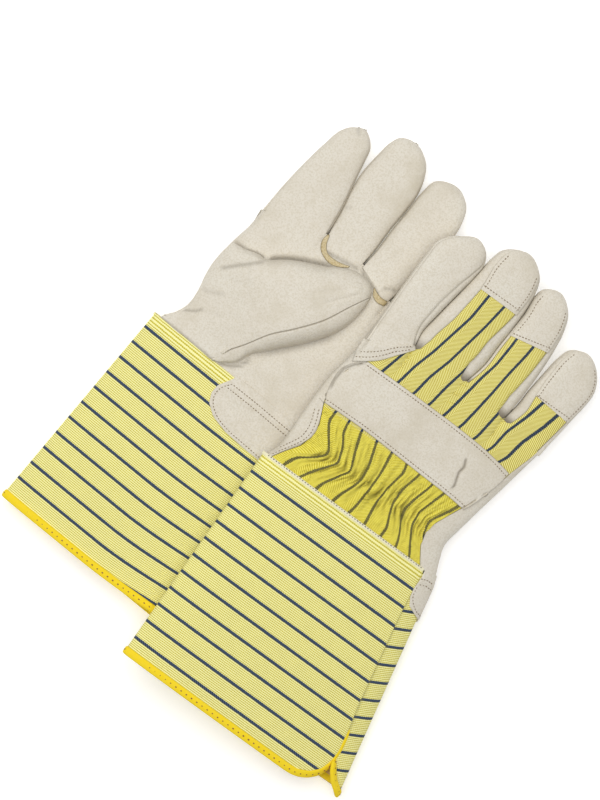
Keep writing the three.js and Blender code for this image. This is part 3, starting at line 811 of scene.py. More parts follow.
def fingerGrid(finger, shares, fromAngle, toAngle, steps):
    # a grid on a finger's surface; the angle is 0 on its little-finger side and 90 on its back
    low, high = fingerRows(finger, shares)
    ends = fingerRows(finger, [0.72])
    broad = 0.85 * np.linalg.norm(ends[1][0] - ends[0][0])
    grid = np.zeros((len(shares), steps + 1, 3))
    for r, share in enumerate(shares):
        width = np.linalg.norm(high[r] - low[r])
        deep = fingerDepth * min(1.0, width / broad) ** 0.6
        t = np.radians(np.linspace(fromAngle(share, width), toAngle(share, width), steps + 1))
        base = fingerBase * (1 - smooth(0, 0.16, share))
        s = power(np.sin(t), 2 / fingerPower)
        lifted = np.sign(s) * (base * smooth(0, 0.3, np.abs(s)) + (1 - base) * np.abs(s))
        reach = power(np.cos(t), 2 / fingerPower)[:, None]
        grid[r, :, :2] = (low[r] + high[r]) / 2 + reach * (high[r] - low[r]) / 2
        grid[r, :, 2] = fingerMiddle + deep * lifted
    return grid


def fingerMid(finger, shares, steps):
    low, high = fingerRows(finger, shares)
    inside = np.zeros((len(shares), steps + 1, 3))
    inside[..., :2] = ((low + high) / 2)[:, None]
    last = max(len(shares) - 6, 0)
    inside[last:, :, :2] = inside[last, 0, :2]
    inside[..., 2] = fingerMiddle
    return inside


def insetAngle(finger, which):
    # the section's angle at the back panel's edge, from its distance in from the outline
    shares, insets = finger["inset"][which]

    def angle(share, width):
        a = 1 - 2 * np.interp(share, shares, insets) / max(width, 3)
        t = np.degrees(np.arccos(power(np.clip(a, -1, 1), fingerPower / 2)))
        return t if which else 180 - t

    return angle


def pillow(grid, inside, rise, reach=2.6):
    # a sewn panel stands proud between its seams, and dips into them
    columns = np.arange(grid.shape[1])
    dip = np.exp(-((columns / reach) ** 2)) + np.exp(-(((grid.shape[1] - 1 - columns) / reach) ** 2))
    return grid - outwardOf(grid, inside) * (rise * dip)[None, :, None]


def seamShade(grid, dark):
    shade = np.zeros(grid.shape[:2])
    shade[:, [0, -1]] = dark
    return shade


def addFinger(side, key):
    finger = fingers[side][key]
    name = f"{side}{key.capitalize()}"
    shares = 1 - (1 - np.linspace(0, 1, 66)) ** 1.4
    made = {}

    def panel(fromAngle, toAngle, steps, rows, lift=0, cloth=False, dents=()):
        grid = fingerGrid(finger, rows, fromAngle, toAngle, steps)
        inside = fingerMid(finger, rows, steps)
        grid = pillow(grid, inside, 0.7 - lift)
        if lift:
            grid += outwardOf(grid, inside) * lift
        # painted shade along the panel's seams and in its creases
        hollow = np.maximum(dented(grid, -1, dents), seamShade(grid, 0.35))
        uv = weaveOf(grid[..., 0], grid[..., 1]) if cloth else None
        return sheetOf(grid, inside, wall["cloth" if cloth else "leather"], uv=uv, hollow=hollow)

    dents = [] if side == "right" else leftFingerCreases.get(key, [])
    front = panel(lambda s, w: 180 + under, lambda s, w: 360 - under, 60, shares, dents=dents)
    made["front"] = sheetPiece(name + "Front", side, [front], [leather])
    low = panel(insetAngle(finger, 0), lambda s, w: 180 + under, 16, shares)
    high = panel(lambda s, w: -under, insetAngle(finger, 1), 16, shares)
    # painted shade at the root of each wall that faces another finger, down in the crotch
    crotchShade = 0.8 * (1 - smooth(0, 0.09, shares))[:, None]
    for wallPanel, atEdge in ((low, key == "index"), (high, key == "little")):
        if not atEdge:
            wallPanel["hollow"] = np.maximum(wallPanel["hollow"], crotchShade)
    made["fourchette"] = sheetPiece(name + "Fourchette", side, [low, high], [leather])
    if key == "index":
        back = panel(insetAngle(finger, 1), insetAngle(finger, 0), 52, shares)
        made["back"] = sheetPiece(name + "Back", side, [back], [leather])
        return made
    # the cloth runs up to the cap, whose lower edge crosses the finger at a slant and overlaps it
    ends = finger["cap"]
    slant = (ends[1][1] - ends[0][1]) / (ends[1][0] - ends[0][0])
    low, high = fingerRows(finger, shares)
    middle = (low + high) / 2
    start = int(np.argmax(middle[:, 1] > (ends[0][1] + ends[1][1]) / 2))
    cloth = panel(insetAngle(finger, 1), insetAngle(finger, 0), 52, shares[: start + 4], -0.15, True)
    made["back"] = sheetPiece(name + "Back", side, [cloth], [twillCloth])
    cap = panel(insetAngle(finger, 1), insetAngle(finger, 0), 52, shares[start:], 0.6)
    grid = cap["grid"]
    fade = 1 - smooth(0, 14, grid[..., 1] - grid[0, :, 1])
    grid[..., 1] += fade * slant * (grid[..., 0] - middle[start, 0])
    made["cap"] = sheetPiece(name + "Cap", side, [cap], [leather])
    return made


# Creases of the left glove's fingers, as those of the palm
leftFingerCreases = {
    "index": [([(-41, 171.6), (-39, 168.5), (-36, 166)], 0.8, 0.9, 0.2)],
    "middle": [
        ([(-15, 126), (-13, 128), (-11, 129)], 0.8, 0.9, 0.2),
        ([(-6, 108), (-4, 116), (-3, 124)], 0.35, 0.8, 0),
        ([(1, 106), (2, 115), (4, 122)], 0.35, 0.8, 0),
        ([(8, 107), (9, 113), (10, 119)], 0.35, 0.8, 0),
    ],
    "ring": [
        ([(35, 102), (40, 106), (45, 107.5)], 0.9, 0.9, 0.35),
        ([(22, 108), (27, 116), (31, 126)], 0.5, 1.6, 0),
    ],
}


# ---- leather laid on the cloth ----


def handPatch(
    side, name, origin, curves, face, rows, columns, thickness,
    edgeShade=0.4, rounds=3, sink=None, skin=leather, creases=(),
):
    # a leather patch between four curves (top, bottom, left, right) drawn on one glove
    plan = coons(*(moved(side, curve, origin) for curve in curves), rows, columns)
    grid, inside = laid(side, plan, face, thickness, rounds=rounds, sink=sink)
    pressed = dented(grid, face, [(moved(side, line, origin), *rest) for line, *rest in creases])
    # painted shade along the patch's raised cut edges and in its creases; none along an edge that sinks into the
    # surface
    shade = np.full(plan.shape[:2], edgeShade)
    shade[1:-1, 1:-1] = 0
    if sink:
        shade[0 if sink == "top" else slice(None), 0 if sink == "left" else slice(None)] = 0
    shade = np.maximum(shade, pressed)
    return sheetPiece(f"{side}{name}", side, [sheetOf(grid, inside, thickness, hollow=shade)], [skin])


strapCreases = [
    ([(41, 73), (42, 71), (43.7, 67), (43, 62), (45.5, 54), (44.5, 50)], 0.9, 0.8, 0.6),
    ([(-43.5, 85), (-49, 80), (-53, 74), (-53.8, 65), (-52.5, 57)], 0.2, 0.8, 0.55),
]
strapCurves = (
    [(-43, 86), (0, 85.5), (30, 84.5), (50, 83), (60, 81.5), (70.5, 79.5)],
    [(-51, 50), (-20, 50), (0, 49), (25, 47.5), (45, 46.5), (59.5, 45)],
    [(-43, 86), (-50, 80.5), (-54, 74), (-54.8, 65), (-53.5, 57), (-51, 50)],
    [(70.5, 79.5), (68.5, 70), (65.5, 60), (62, 50), (59.5, 45)],
)
hemCurves = (
    [(-53.4, 96), (-44, 101.5), (-34, 107), (-25, 111)],
    [(-51.5, 80.5), (-44.5, 85.5), (-40, 89), (-31, 99.5), (-23.3, 108.8)],
    [(-53.4, 96), (-53.2, 88), (-51.5, 80.5)],
    [(-25, 111), (-23.3, 108.8)],
)
bandCurves = (
    [(-55.5, 51), (-51, 49.5)],
    [(-61.5, 2), (-59.5, 2.5)],
    [(-55.5, 51), (-54, 40), (-53, 31), (-53.3, 25), (-55.5, 17), (-58.5, 9), (-61.5, 2)],
    [(-51, 49.5), (-47, 40), (-45, 32), (-46, 25), (-50, 18), (-55, 10), (-59.5, 2.5)],
)


# ---- the thumb, folded over the palm ----
thumbs = {
    "left": {
        "upper": [
            (-54.5, 65), (-45, 67), (-38, 69.5), (-31, 70.5), (-25, 75.5), (-20, 79.5), (-10, 85.5), (0, 91),
            (8, 96.5),
        ],
        "nose": [(15, 100), (22, 101), (28, 100), (32, 97), (34, 93)],
        "lower": [
            (35, 87), (34.5, 75), (32, 65), (27, 55), (20, 45), (12, 35), (5, 26), (0, 20), (-2, 16), (-4, 10),
            (-12, 3),
        ],
        "root": [(-54.5, 65), (-55.6, 56), (-55.3, 44), (-52.5, 33), (-50, 24), (-50, 15), (-54, 6), (-59.5, 0.5)],
        "wrist": [(-46, 0.7), (-32, 0.7), (-24, 0.7)],
        "seam": [(-18, 0.8), (-13, 12), (-8, 20), (0, 35), (10, 48), (20, 63), (28, 82), (33.5, 94)],
        "height": 14.5,
        "round": 17,
        "axis": [(-50, 22), (-22, 42), (6, 66), (32, 94)],
    },
    "right": {
        "upper": [(-50, 60), (-40, 61), (-28, 60), (-20, 62), (-13, 66), (-4, 76), (4, 83.5), (12, 89)],
        "nose": [(18, 92), (24, 92.5), (28, 90), (30.5, 85)],
        "lower": [(31, 78), (30, 68.5), (28, 57), (23, 44.7), (14, 30), (6, 18), (-2, 10), (-12, 5)],
        "root": [(-50, 60), (-52, 50), (-52, 40), (-50, 30), (-49, 22), (-48, 14), (-50, 6), (-54, 1.5)],
        "wrist": [(-44, 1.4), (-34, 1.6), (-28, 1.6)],
        "seam": [(-22, 1.8), (-14, 14), (-6, 26), (3, 40), (11, 53), (18, 66), (25, 80), (30, 87)],
        "height": 8.5,
        "round": 13,
        "axis": [(-48, 18), (-20, 36), (4, 60), (26, 88)],
    },
}
thumbCreases = [
    ([(-30, 69.5), (-37, 61.5), (-44, 54), (-51, 46)], 1.1, 1.1, 0.35),
    ([(-53, 12.5), (-50, 13.5), (-44.3, 17.5), (-41, 22)], 0.6, 0.8, 0.4),
    ([(-54, 52), (-42, 56), (-28, 60)], 0.5, 1.8, 0.0),
    ([(-51, 30), (-47, 31), (-41, 34), (-36, 37)], 0.9, 1.2, 0.12),
    ([(-46, 42), (-36, 47), (-26, 54)], 0.4, 1.5, 0.0),
    ([(-44, 18), (-30, 24), (-16, 34)], 0.4, 1.6, 0.0),
    ([(4, 72), (14, 82), (24, 93)], 0.45, 1.2, 0.0),
    ([(14, 72), (20, 80), (28, 92)], 0.45, 1.2, 0.0),
    ([(20, 96), (24, 97), (29, 93)], 0.35, 1.1, 0.0),
]


def thumbHeight(side, x, y):
    # how far the folded thumb stands off the palm over a plan
    thumb = thumbs[side]
    outline = along([*thumb["upper"], *thumb["nose"], *thumb["lower"]], 160)
    gap = np.maximum(distanceTo(x, y, outline)[0] - 0.35, 0)
    _, share = distanceTo(x, y, thumb["axis"])
    crown = (1 - (1 - np.clip(gap / thumb["round"], 0, 1)) ** 2.3) ** (1 / 2.3)
    return thumb["height"] * crown * smooth(0.02, 0.5, share) * (1 - 0.25 * smooth(0.6, 1.0, share))


def thumbSheet(side, plan, lift, creases=(), edge=0.35):
    cast = casters[side]
    rows, columns = plan.shape[:2]
    base = np.array([[cast(*plan[r, c], -1)[0].z for c in range(columns)] for r in range(rows)])
    for _ in range(4):
        wide = np.pad(base, 1, mode="edge")
        mean = (wide[:-2, 1:-1] + wide[2:, 1:-1] + wide[1:-1, :-2] + wide[1:-1, 2:]) / 4
        base = np.minimum(base, mean)
    high = thumbHeight(side, plan[..., 0], plan[..., 1])
    ripple = 0.25 * np.sin(plan[..., 0] / 5.1 + np.sin(plan[..., 1] / 8)) * smooth(1, 6, high)
    z = base - lift - high - ripple
    grid = np.concatenate([plan, z[..., None]], 2)
    # painted shade in the creases
    hollow = dented(grid, -1, creases)
    grid[[0, -1], :, 2] += edge
    grid[:, [0, -1], 2] += edge
    return grid, hollow


casters = {}
# the seam between the thumb's two outer halves pulls the leather in, and painted shade darkens the dip
seamDip = {"rows": 1.6, "depth": 0.9, "shade": 0.3}
insideWay = (0, 0, 12)  # from the thumb's palm side towards its inside


def addThumb(side):
    thumb = thumbs[side]
    casters[side] = caster(side)
    creases = thumbCreases if side == "left" else []
    outerCurves = (
        [*thumb["upper"], *thumb["nose"][:-1]],
        [thumb["root"][-1], *thumb["wrist"], *thumb["seam"]],
        thumb["root"],
        [thumb["nose"][-2], thumb["seam"][-1]],
    )
    # the narrow half beyond the seam rolls down to the palm
    seam, lower = thumb["seam"], thumb["lower"]
    sideCurves = (seam, lower[::-1], [seam[0], lower[-1]], [seam[-1], lower[0]])
    pieces = {}
    for node, curves, fromSeam, pressed in (
        ("outer", outerCurves, 79 - np.arange(80), creases),
        ("side", sideCurves, np.arange(26), ()),
    ):
        plan = coons(*curves, len(fromSeam), 110)
        grid, hollow = thumbSheet(side, plan, wall["leather"] + 0.2, pressed)
        # the seam's dip, with painted shade in it
        dip = np.exp(-((fromSeam / seamDip["rows"]) ** 2))[:, None]
        grid[..., 2] += seamDip["depth"] * dip
        half = sheetOf(grid, grid + insideWay, wall["leather"], hollow=np.maximum(hollow, seamDip["shade"] * dip))
        pieces[node] = sheetPiece(f"{side}Thumb{node.capitalize()}", side, [half], [leather])
    # the inner half lies flat on the palm
    innerCurves = (
        [*thumb["upper"], *thumb["nose"]],
        [thumb["root"][-1], *lower[::-1]],
        thumb["root"],
        [thumb["nose"][-1], lower[0]],
    )
    inner = coons(*innerCurves, 30, 50)
    _, share = distanceTo(inner[..., 0], inner[..., 1], thumb["axis"])
    spine = along(thumb["axis"], 200)[np.round(share * 199).astype(int)]
    inner = inner + (spine - inner) * 0.14
    base = np.array([[casters[side](*p, -1)[0].z for p in row] for row in inner]) - 0.15
    grid = np.concatenate([inner, base[..., None] - 0.9], 2)
    flat = sheetOf(grid, grid + insideWay, 0.8)
    pieces["inner"] = sheetPiece(f"{side}ThumbInner", side, [flat], [leather], keep=False)
    return pieces


# ---- the cuff ----
cuffs = {
    "right": {"skew": -0.025, "about": 60, "scale": 1.0, "first": 13.5},
    "left": {"skew": 0.015, "about": -55, "scale": 0.98, "first": 10.0},
}
cuffPower = 2.4
cuffEnd = 151.4
stripePitch = 12.5
wristSlide = 0.22  # the weave is slid this far, in stripes, at the wrist, where the cuff is plain
mouthRise = 4.5  # how far the palm panel's mouth rises at the little-finger side
mouth = 146.0
# where the back panel ends towards the little finger: y and x, down the seam and round the vent's corner
vent = [
    (2, 60), (-30, 64), (-60, 69.5), (-90, 75), (-102, 78), (-112, 80.3), (-122, 82), (-130, 81.5), (-137, 79),
    (-142, 74), (-145.3, 67),
]


def cuffSpan(y):
    share = -y / cuffEnd
    return -62.5, 71 + 29 * share


def cuffPoint(side, y, t, lift=0.0):
    cuff = cuffs[side]
    low, high = cuffSpan(y)
    t = np.radians(t)
    x = (low + high) / 2 + ((high - low) / 2 + lift) * power(np.cos(t), 2 / cuffPower)
    deep = 9.5 + 1.1 * smooth(-14, 0, y) + lift
    z = deep * power(np.sin(t), 2 / cuffPower)
    soft = smooth(0, 30, -y) * smooth(0.2, 0.7, np.abs(np.sin(t)))
    z = z + soft * (0.5 * np.sin(x / 23 + y / 31) + 0.35 * np.sin(y / 13 + x / 41) + 0.12 * np.sin(y / 2.9))
    y = y * cuff["scale"] + cuff["skew"] * (x - cuff["about"])
    return np.stack([x, y + 0 * x, z], -1)


def palmPoint(side, y, t, lift=0.0):
    # the palm panel's mouth rises towards the little finger
    line = cuffPoint(side, y, t, lift)
    line[..., 1] += mouthRise * (-y / mouth) * smooth(0, 100, line[..., 0])
    return line


def cuffGrid(side, rows, fromAngle, toAngle, steps, lift=0.0, point=cuffPoint):
    grid, uv = [], []
    for y in rows:
        t = np.linspace(fromAngle(y), toAngle(y), steps + 1)
        line = point(side, y, t, lift)
        run = np.r_[0, np.cumsum(np.linalg.norm(np.diff(line, axis=0), axis=1))]
        bend = 0 * run
        if t[-1] > 300:
            # past the fold the canvas climbs towards the vent
            fold = np.interp(360, t, run) if t[-1] > 360 else run[-1]
            bend = 0.4 * np.clip(run - fold, 0, None) - 2.7 * smooth(0, 12, run - fold + 12)
            bend -= mouthRise * (-y / mouth) * smooth(0, 100, line[:, 0])
        # no stripe shows in the seam at the wrist
        u = (-y - cuffs[side]["first"] - bend) / stripePitch + 1 + wristSlide * (1 - smooth(0, 8, -y))
        uv.append(np.stack([u, run / stripePitch], -1))
        grid.append(line)
    return np.array(grid), np.array(uv)


def cuffMiddle(grid):
    inside = grid * (1, 1, 0)
    inside[..., 0] = np.clip(inside[..., 0], -40, 50)
    return inside


def ventX(y):
    return np.interp(-y, [-p[0] for p in vent], column(vent, 1))


def cuffAngle(y, x):
    return angleOf(x, *cuffSpan(y), cuffPower)


def tubeGrid(points, normals, wide, thick, sides=12, roundness=3):
    # a closed band that follows a path: it reaches from the path to one side, and its ends are closed
    points, normals = np.asarray(points, float), np.asarray(normals, float)
    ahead = np.gradient(points, axis=0)
    ahead /= np.linalg.norm(ahead, axis=1, keepdims=True)
    across = np.cross(normals, ahead)
    across /= np.linalg.norm(across, axis=1, keepdims=True)
    up = np.cross(ahead, across)
    turn = np.linspace(0, math.tau, sides, endpoint=False)
    a, b = power(np.cos(turn), 2 / roundness), power(np.sin(turn), 2 / roundness)
    sideways = across[:, None] * (a * wide / 2)[None, :, None]
    ring = points[:, None] + sideways + up[:, None] * (b * thick / 2)[None, :, None]
    count = len(points)
    faces = [
        (r * sides + c, r * sides + (c + 1) % sides, (r + 1) * sides + (c + 1) % sides, (r + 1) * sides + c)
        for r in range(count - 1)
        for c in range(sides)
    ]
    faces += [tuple(range(sides))[::-1], tuple((count - 1) * sides + c for c in range(sides))]
    return ring.reshape(-1, 3), faces


def addCuff(side):
    rows = np.linspace(0.5, -mouth, 118)
    grid, uv = cuffGrid(side, rows, lambda y: cuffAngle(y, ventX(y)), lambda y: 181, 120, 0.6)
    # painted shade along the back panel's edge at the vent
    shade = np.zeros(grid.shape[:2])
    shade[:, 0] = 0.3
    back = sheetOf(grid, cuffMiddle(grid), wall["cloth"], uv=uv, hollow=shade)
    pieces = {"cuff_back": sheetPiece(f"{side}CuffBack", side, [back], [cuffCloth, tanInside])}
    top = [0.5, -60, -90, -112, -131, -137, -141, -144, -146]
    edge = [57, 66, 71.5, 78, 84.5, 88, 91.5, 95.5, 98.6]
    palmX = lambda y: np.interp(-y, [-v for v in top], edge)
    grid, uv = cuffGrid(side, rows, lambda y: 181, lambda y: 360 + cuffAngle(y, palmX(y)), 150, point=palmPoint)
    shade = np.zeros(grid.shape[:2])
    # painted shade on the palm panel's strip where the back panel's edge lies over it
    for r, y in enumerate(rows):
        shade[r] = 0.35 * np.exp(-(((grid[r, :, 0] - ventX(y) - 0.4) / 1.0) ** 2)) * (grid[r, :, 2] > 0)
    palm = sheetOf(grid, cuffMiddle(grid), wall["cloth"], uv=uv, hollow=shade)
    pieces["cuff_palm"] = sheetPiece(f"{side}CuffPalm", side, [palm], [cuffCloth, tanInside])
    # folded tape down the vent, round its corner and round the mouth
    path = [(y, cuffAngle(y, x)) for y, x in vent if y < -95]
    path += [(-mouth, t) for t in np.linspace(cuffAngle(-mouth, 60), 358, 100)]
    path += [(y, 360 + cuffAngle(y, palmX(y))) for y in (-145, -143.5, -141, -137, -131)]
    hold = [cuffPoint if t < 180 else palmPoint for y, t in path]
    ends = np.array([at(side, y, t, 0.1) for at, (y, t) in zip(hold, path)])
    outer = np.array([at(side, y, t, 1.1) for at, (y, t) in zip(hold, path)]) - ends
    fine = np.linspace(0, 1, 260)
    line = curveThrough(ends, fine)
    run = np.r_[0, np.cumsum(np.linalg.norm(np.diff(ends, axis=0), axis=1))]
    outer = np.stack([np.interp(fine * run[-1], run, outer[:, k]) for k in range(3)], 1)
    outer /= np.linalg.norm(outer, axis=1, keepdims=True)
    ahead = np.gradient(line, axis=0)
    out = np.cross(ahead, outer)
    out /= np.linalg.norm(out, axis=1, keepdims=True)
    if out[len(out) // 2, 1] > 0:
        out = -out
    thin = 0.4 + 0.6 * smooth(0, 0.03, fine) - 0.3 * smooth(0.985, 1, fine)
    # the mouth's tape runs inside the palm panel just before the vent, where the lining shows
    hidden = smooth(55, 72, line[:, 0]) * smooth(-0.5, -5, line[:, 2])
    line = line + out * (2.4 - 4.6 * hidden)[:, None]
    points, faces = tubeGrid(line, outer, 5.2, 3.0)
    ring = points.reshape(len(line), -1, 3)
    points = (line[:, None] + (ring - line[:, None]) * thin[:, None, None]).reshape(-1, 3)
    surfaces[side].append((points, faces[:-2]))
    pieces["cuff_binding"] = meshPiece(f"{side}CuffBinding", side, points, faces, [bindingCloth])
    stitchLines.append((side, "hand", "red", line + outer * 1.5, outer, 4.0))
    return pieces


def addWristTape(side):
    rows = np.array([1.1, 0.8, 0.4, -0.1, -0.6, -0.9])
    columns = 120
    grid, _ = cuffGrid(side, rows, lambda y: cuffAngle(y, 59), lambda y: 176, columns, 1.5)
    pucker = 0.12 * np.sin(np.arange(columns + 1) * 1.9)
    grid += outwardOf(grid, cuffMiddle(grid)) * pucker[None, :, None]
    tape = sheetOf(grid, cuffMiddle(grid), 0.8)
    return sheetPiece(f"{side}WristTape", side, [tape], [tapeCloth])


# the pulse patch's two ends: y, and the x of its edge on the palm and on the back
patchStart = ([3, -2, -10, -16, -22, -27, -30, -31], [2, 0, -4, -4, -1, 6, 18, 44])
patchEnd = ([2, -13, -18, -23, -25, -27, -29, -31], [61, 61, 62, 65, 70, 76, 79, 79])


def addPulsePatch(side):
    rows = np.linspace(2.2, -30.5, 44)
    start = lambda y: 360 - cuffAngle(y, np.interp(-y, [-v for v in patchStart[0]], patchStart[1]))
    def end(y):
        x = np.interp(-y, [-v for v in patchEnd[0]], patchEnd[1])
        high = cuffSpan(y)[1]
        return 360 + cuffAngle(y, x) if x < high - 0.2 else 360 - 18 * smooth(27, 31, -y)
    rising = lambda side, y, t, lift: cuffPoint(side, y, t, 0.6 + lift * smooth(2.2, -6, y))
    grid, _ = cuffGrid(side, rows, start, end, 110, 1.0, rising)
    grid[[0, -1]] -= outwardOf(grid, cuffMiddle(grid))[[0, -1]] * 0.4
    grid[:, [0, -1]] -= outwardOf(grid, cuffMiddle(grid))[:, [0, -1]] * 0.4
    patch = sheetOf(grid, cuffMiddle(grid), wall["leather"])
    return sheetPiece(f"{side}PulsePatch", side, [patch], [leather])


# ---- stitches and seams ----
threads = {
    "brown": {"material": brownThread, "length": 1.4, "width": 0.7, "height": 0.5},
    "dark": {"material": darkThread, "length": 1.3, "width": 0.6, "height": 0.6},
    "red": {"material": redThread, "length": 1.3, "width": 0.9, "height": 0.8},
}
stitchLines = []  # side, part, thread, points, normals and pitch


def onSurface(side, points, face, step=0.7):
    cast = casters[side]
    line = along(points, max(int(sum(math.dist(a, b) for a, b in zip(points, points[1:])) / step), 3))
    spots, normals = [], []
    for x, y in line:
        spot, normal = cast(x, y, face)
        spots.append(spot)
        normals.append(normal)
    return np.array(spots), np.array(normals)


def sew(side, part, thread, points, face=1, origin=None, pitch=2.0):
    spots, normals = onSurface(side, moved(side, points, origin or side), face)
    flat = normals[:, 2] * face > 0.6
    stitchLines.append((side, part, thread, (spots + normals * 0.05)[flat], normals[flat], pitch))


def stitchTree():
    # stitches at an even pitch along every edge of the mesh, turned along it and lying on the surface
    tree = bpy.data.node_groups.new("stitchRow", "GeometryNodeTree")
    tree.interface.new_socket("Geometry", in_out="INPUT", socket_type="NodeSocketGeometry")
    for label, kind, value in (
        ("Pitch", "Float", 0.002),
        ("Length", "Float", 0.0013),
        ("Width", "Float", 0.0005),
        ("Height", "Float", 0.0003),
        ("Seed", "Int", 3),
    ):
        tree.interface.new_socket(label, in_out="INPUT", socket_type=f"NodeSocket{kind}").default_value = value
    tree.interface.new_socket("Thread", in_out="INPUT", socket_type="NodeSocketMaterial")
    tree.interface.new_socket("Geometry", in_out="OUTPUT", socket_type="NodeSocketGeometry")
    given = addNode(tree, "NodeGroupInput").outputs
    curve = addNode(tree, "GeometryNodeMeshToCurve", {"Mesh": given["Geometry"]})
    spaced = {"Curve": curve.outputs[0], "Length": given["Pitch"]}
    row = addNode(tree, "GeometryNodeResampleCurve", spaced, mode="LENGTH")
    bead = addNode(tree, "GeometryNodeMeshUVSphere", {"Segments": 6, "Rings": 4, "Radius": 0.5})
    size = addNode(tree, "ShaderNodeCombineXYZ", {"X": given["Length"], "Y": given["Width"], "Z": given["Height"]})
    dash = addNode(tree, "GeometryNodeTransform", {"Geometry": bead.outputs["Mesh"], "Scale": size.outputs[0]})
    ahead = addNode(tree, "GeometryNodeInputTangent")
    outward = addNode(tree, "GeometryNodeInputNamedAttribute", {"Name": "outward"}, data_type="FLOAT_VECTOR")
    aim = addNode(tree, "FunctionNodeAlignRotationToVector", {"Vector": ahead.outputs[0]}, axis="X")
    lie = addNode(
        tree,
        "FunctionNodeAlignRotationToVector",
        {"Rotation": aim.outputs[0], "Vector": outward.outputs["Attribute"]},
        axis="Z",
        pivot_axis="X",
    )
    varied = addNode(tree, "FunctionNodeRandomValue", data_type="FLOAT")
    varied.inputs[2].default_value, varied.inputs[3].default_value = 0.82, 1.12
    tree.links.new(given["Seed"], varied.inputs["Seed"])
    sewn = {
        "Points": row.outputs[0],
        "Instance": dash.outputs[0],
        "Rotation": lie.outputs[0],
        "Scale": varied.outputs[1],
    }
    placed = addNode(tree, "GeometryNodeInstanceOnPoints", sewn)
    real = addNode(tree, "GeometryNodeRealizeInstances", {"Geometry": placed.outputs[0]})
    dyed = {"Geometry": real.outputs[0], "Material": given["Thread"]}
    finish = addNode(tree, "GeometryNodeSetMaterial", dyed)
    addNode(tree, "NodeGroupOutput", {"Geometry": finish.outputs[0]})
    return tree


def bakeStitches(tree, name, side, rows, thread, pitch):
    points, edges, normals = [], [], []
    for spots, outs in rows:
        first = len(points)
        points += inWorld(side, spots).tolist()
        normals += (outs @ (place[side][:3, :3] / mm).T).tolist()
        edges += [(first + i, first + i + 1) for i in range(len(spots) - 1)]
    guide = bpy.data.meshes.new(name + "Guide")
    guide.from_pydata(points, edges, [])
    guide.attributes.new("outward", "FLOAT_VECTOR", "POINT").data.foreach_set("vector", np.ravel(normals))
    holder = bpy.data.objects.new(name + "Guide", guide)
    bpy.context.scene.collection.objects.link(holder)
    modifier = holder.modifiers.new("stitches", "NODES")
    modifier.node_group = tree
    look = threads[thread]
    values = {
        "Pitch": pitch * mm,
        "Length": look["length"] * mm,
        "Width": look["width"] * mm,
        "Height": look["height"] * mm,
        "Thread": look["material"],
    }
    for item in tree.interface.items_tree:
        if item.name in values:
            modifier[item.identifier] = values[item.name]
    evaluated = holder.evaluated_get(bpy.context.evaluated_depsgraph_get())
    mesh = bpy.data.meshes.new_from_object(evaluated)
    mesh.name = name
    for spare in [a.name for a in mesh.attributes if a.name == "outward"]:
        mesh.attributes.remove(mesh.attributes[spare])
    made = bpy.data.objects.new(name, mesh)
    bpy.context.scene.collection.objects.link(made)
    bpy.data.objects.remove(holder)
    bpy.data.meshes.remove(guide)
    return made


# ---- putting a glove together ----


def rideFinger(side, key, piece):
    # a finger's pieces stay with the hand at the crotch and bend with the finger beyond it
    joint = next(j for j in frame["joints"] if j["child"] == f"{side}_{key}")
    hinge, axis = Vector(joint["pos_m"]), Vector(joint["axis"])
    tip = fingers[side][key]["tip"] if key != "thumb" else thumbs[side]["nose"][1]
    ahead = Vector(inWorld(side, [*tip, -5])) - hinge
    ahead = (ahead - axis * ahead.dot(axis)).normalized()
    before, after = (-0.012, 0.03) if key == "thumb" else (0.001, 0.03)
    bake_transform(piece, f"{side}_hand", f"{side}_{key}", start=hinge + ahead * before, end=hinge + ahead * after)


def follow(side, part, piece):
    if part == "hand":
        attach(piece, f"{side}_hand")
    else:
        rideFinger(side, part, piece)


def capSeams(side, key):
    # the double row over a cap's lower edge and the row up each of its sides
    finger = fingers[side][key]
    (x0, y0), (x1, y1) = finger["cap"]
    slant = (y1 - y0) / (x1 - x0)
    shares = np.linspace(0.2, 0.97, 40)
    low, high = fingerRows(finger, shares)
    inLow = np.interp(shares, *finger["inset"][0])
    inHigh = np.interp(shares, *finger["inset"][1])
    middle = (low + high) / 2
    k = int(np.argmax(middle[:, 1] > (y0 + y1) / 2))
    left, right = low[k, 0] + inLow[k] + 1, high[k, 0] - inHigh[k] - 1
    base = middle[k, 1] + 2.2
    sew(side, key, "brown", [(x, base + slant * (x - middle[k, 0])) for x in (left, right)])
    for line, shift in ((low, inLow), (high, -inHigh)):
        sign = 1 if line is low else -1
        row = [(line[i, 0] + shift[i] + 1.6 * sign, line[i, 1]) for i in range(k + 1, len(shares) - 7, 3)]
        if len(row) > 3:
            sew(side, key, "brown", row)


# two cut edges of split hide at the left glove's finger roots
crescent = (
    [(-12.2, 107), (-12.5, 102), (-9.5, 96.8), (-4, 94), (2, 93.7), (7, 96), (11, 99)],
    [(-10.6, 106.5), (-8.6, 101.5), (-5, 98), (0, 97.4), (5, 98.2), (9, 99.5), (11, 100.4)],
    [(-12.2, 107), (-11.4, 107.2), (-10.6, 106.5)],
    [(11, 99), (11.2, 99.7), (11, 100.4)],
)
leaf = (
    [(31.5, 100), (35, 98.6), (39, 98), (43, 98.6)],
    [(31.5, 99), (34, 95.4), (38, 93.8), (43, 94.8)],
    [(31.5, 100), (31.4, 99.5), (31.5, 99)],
    [(43, 98.6), (43.6, 96.6), (43, 94.8)],
)
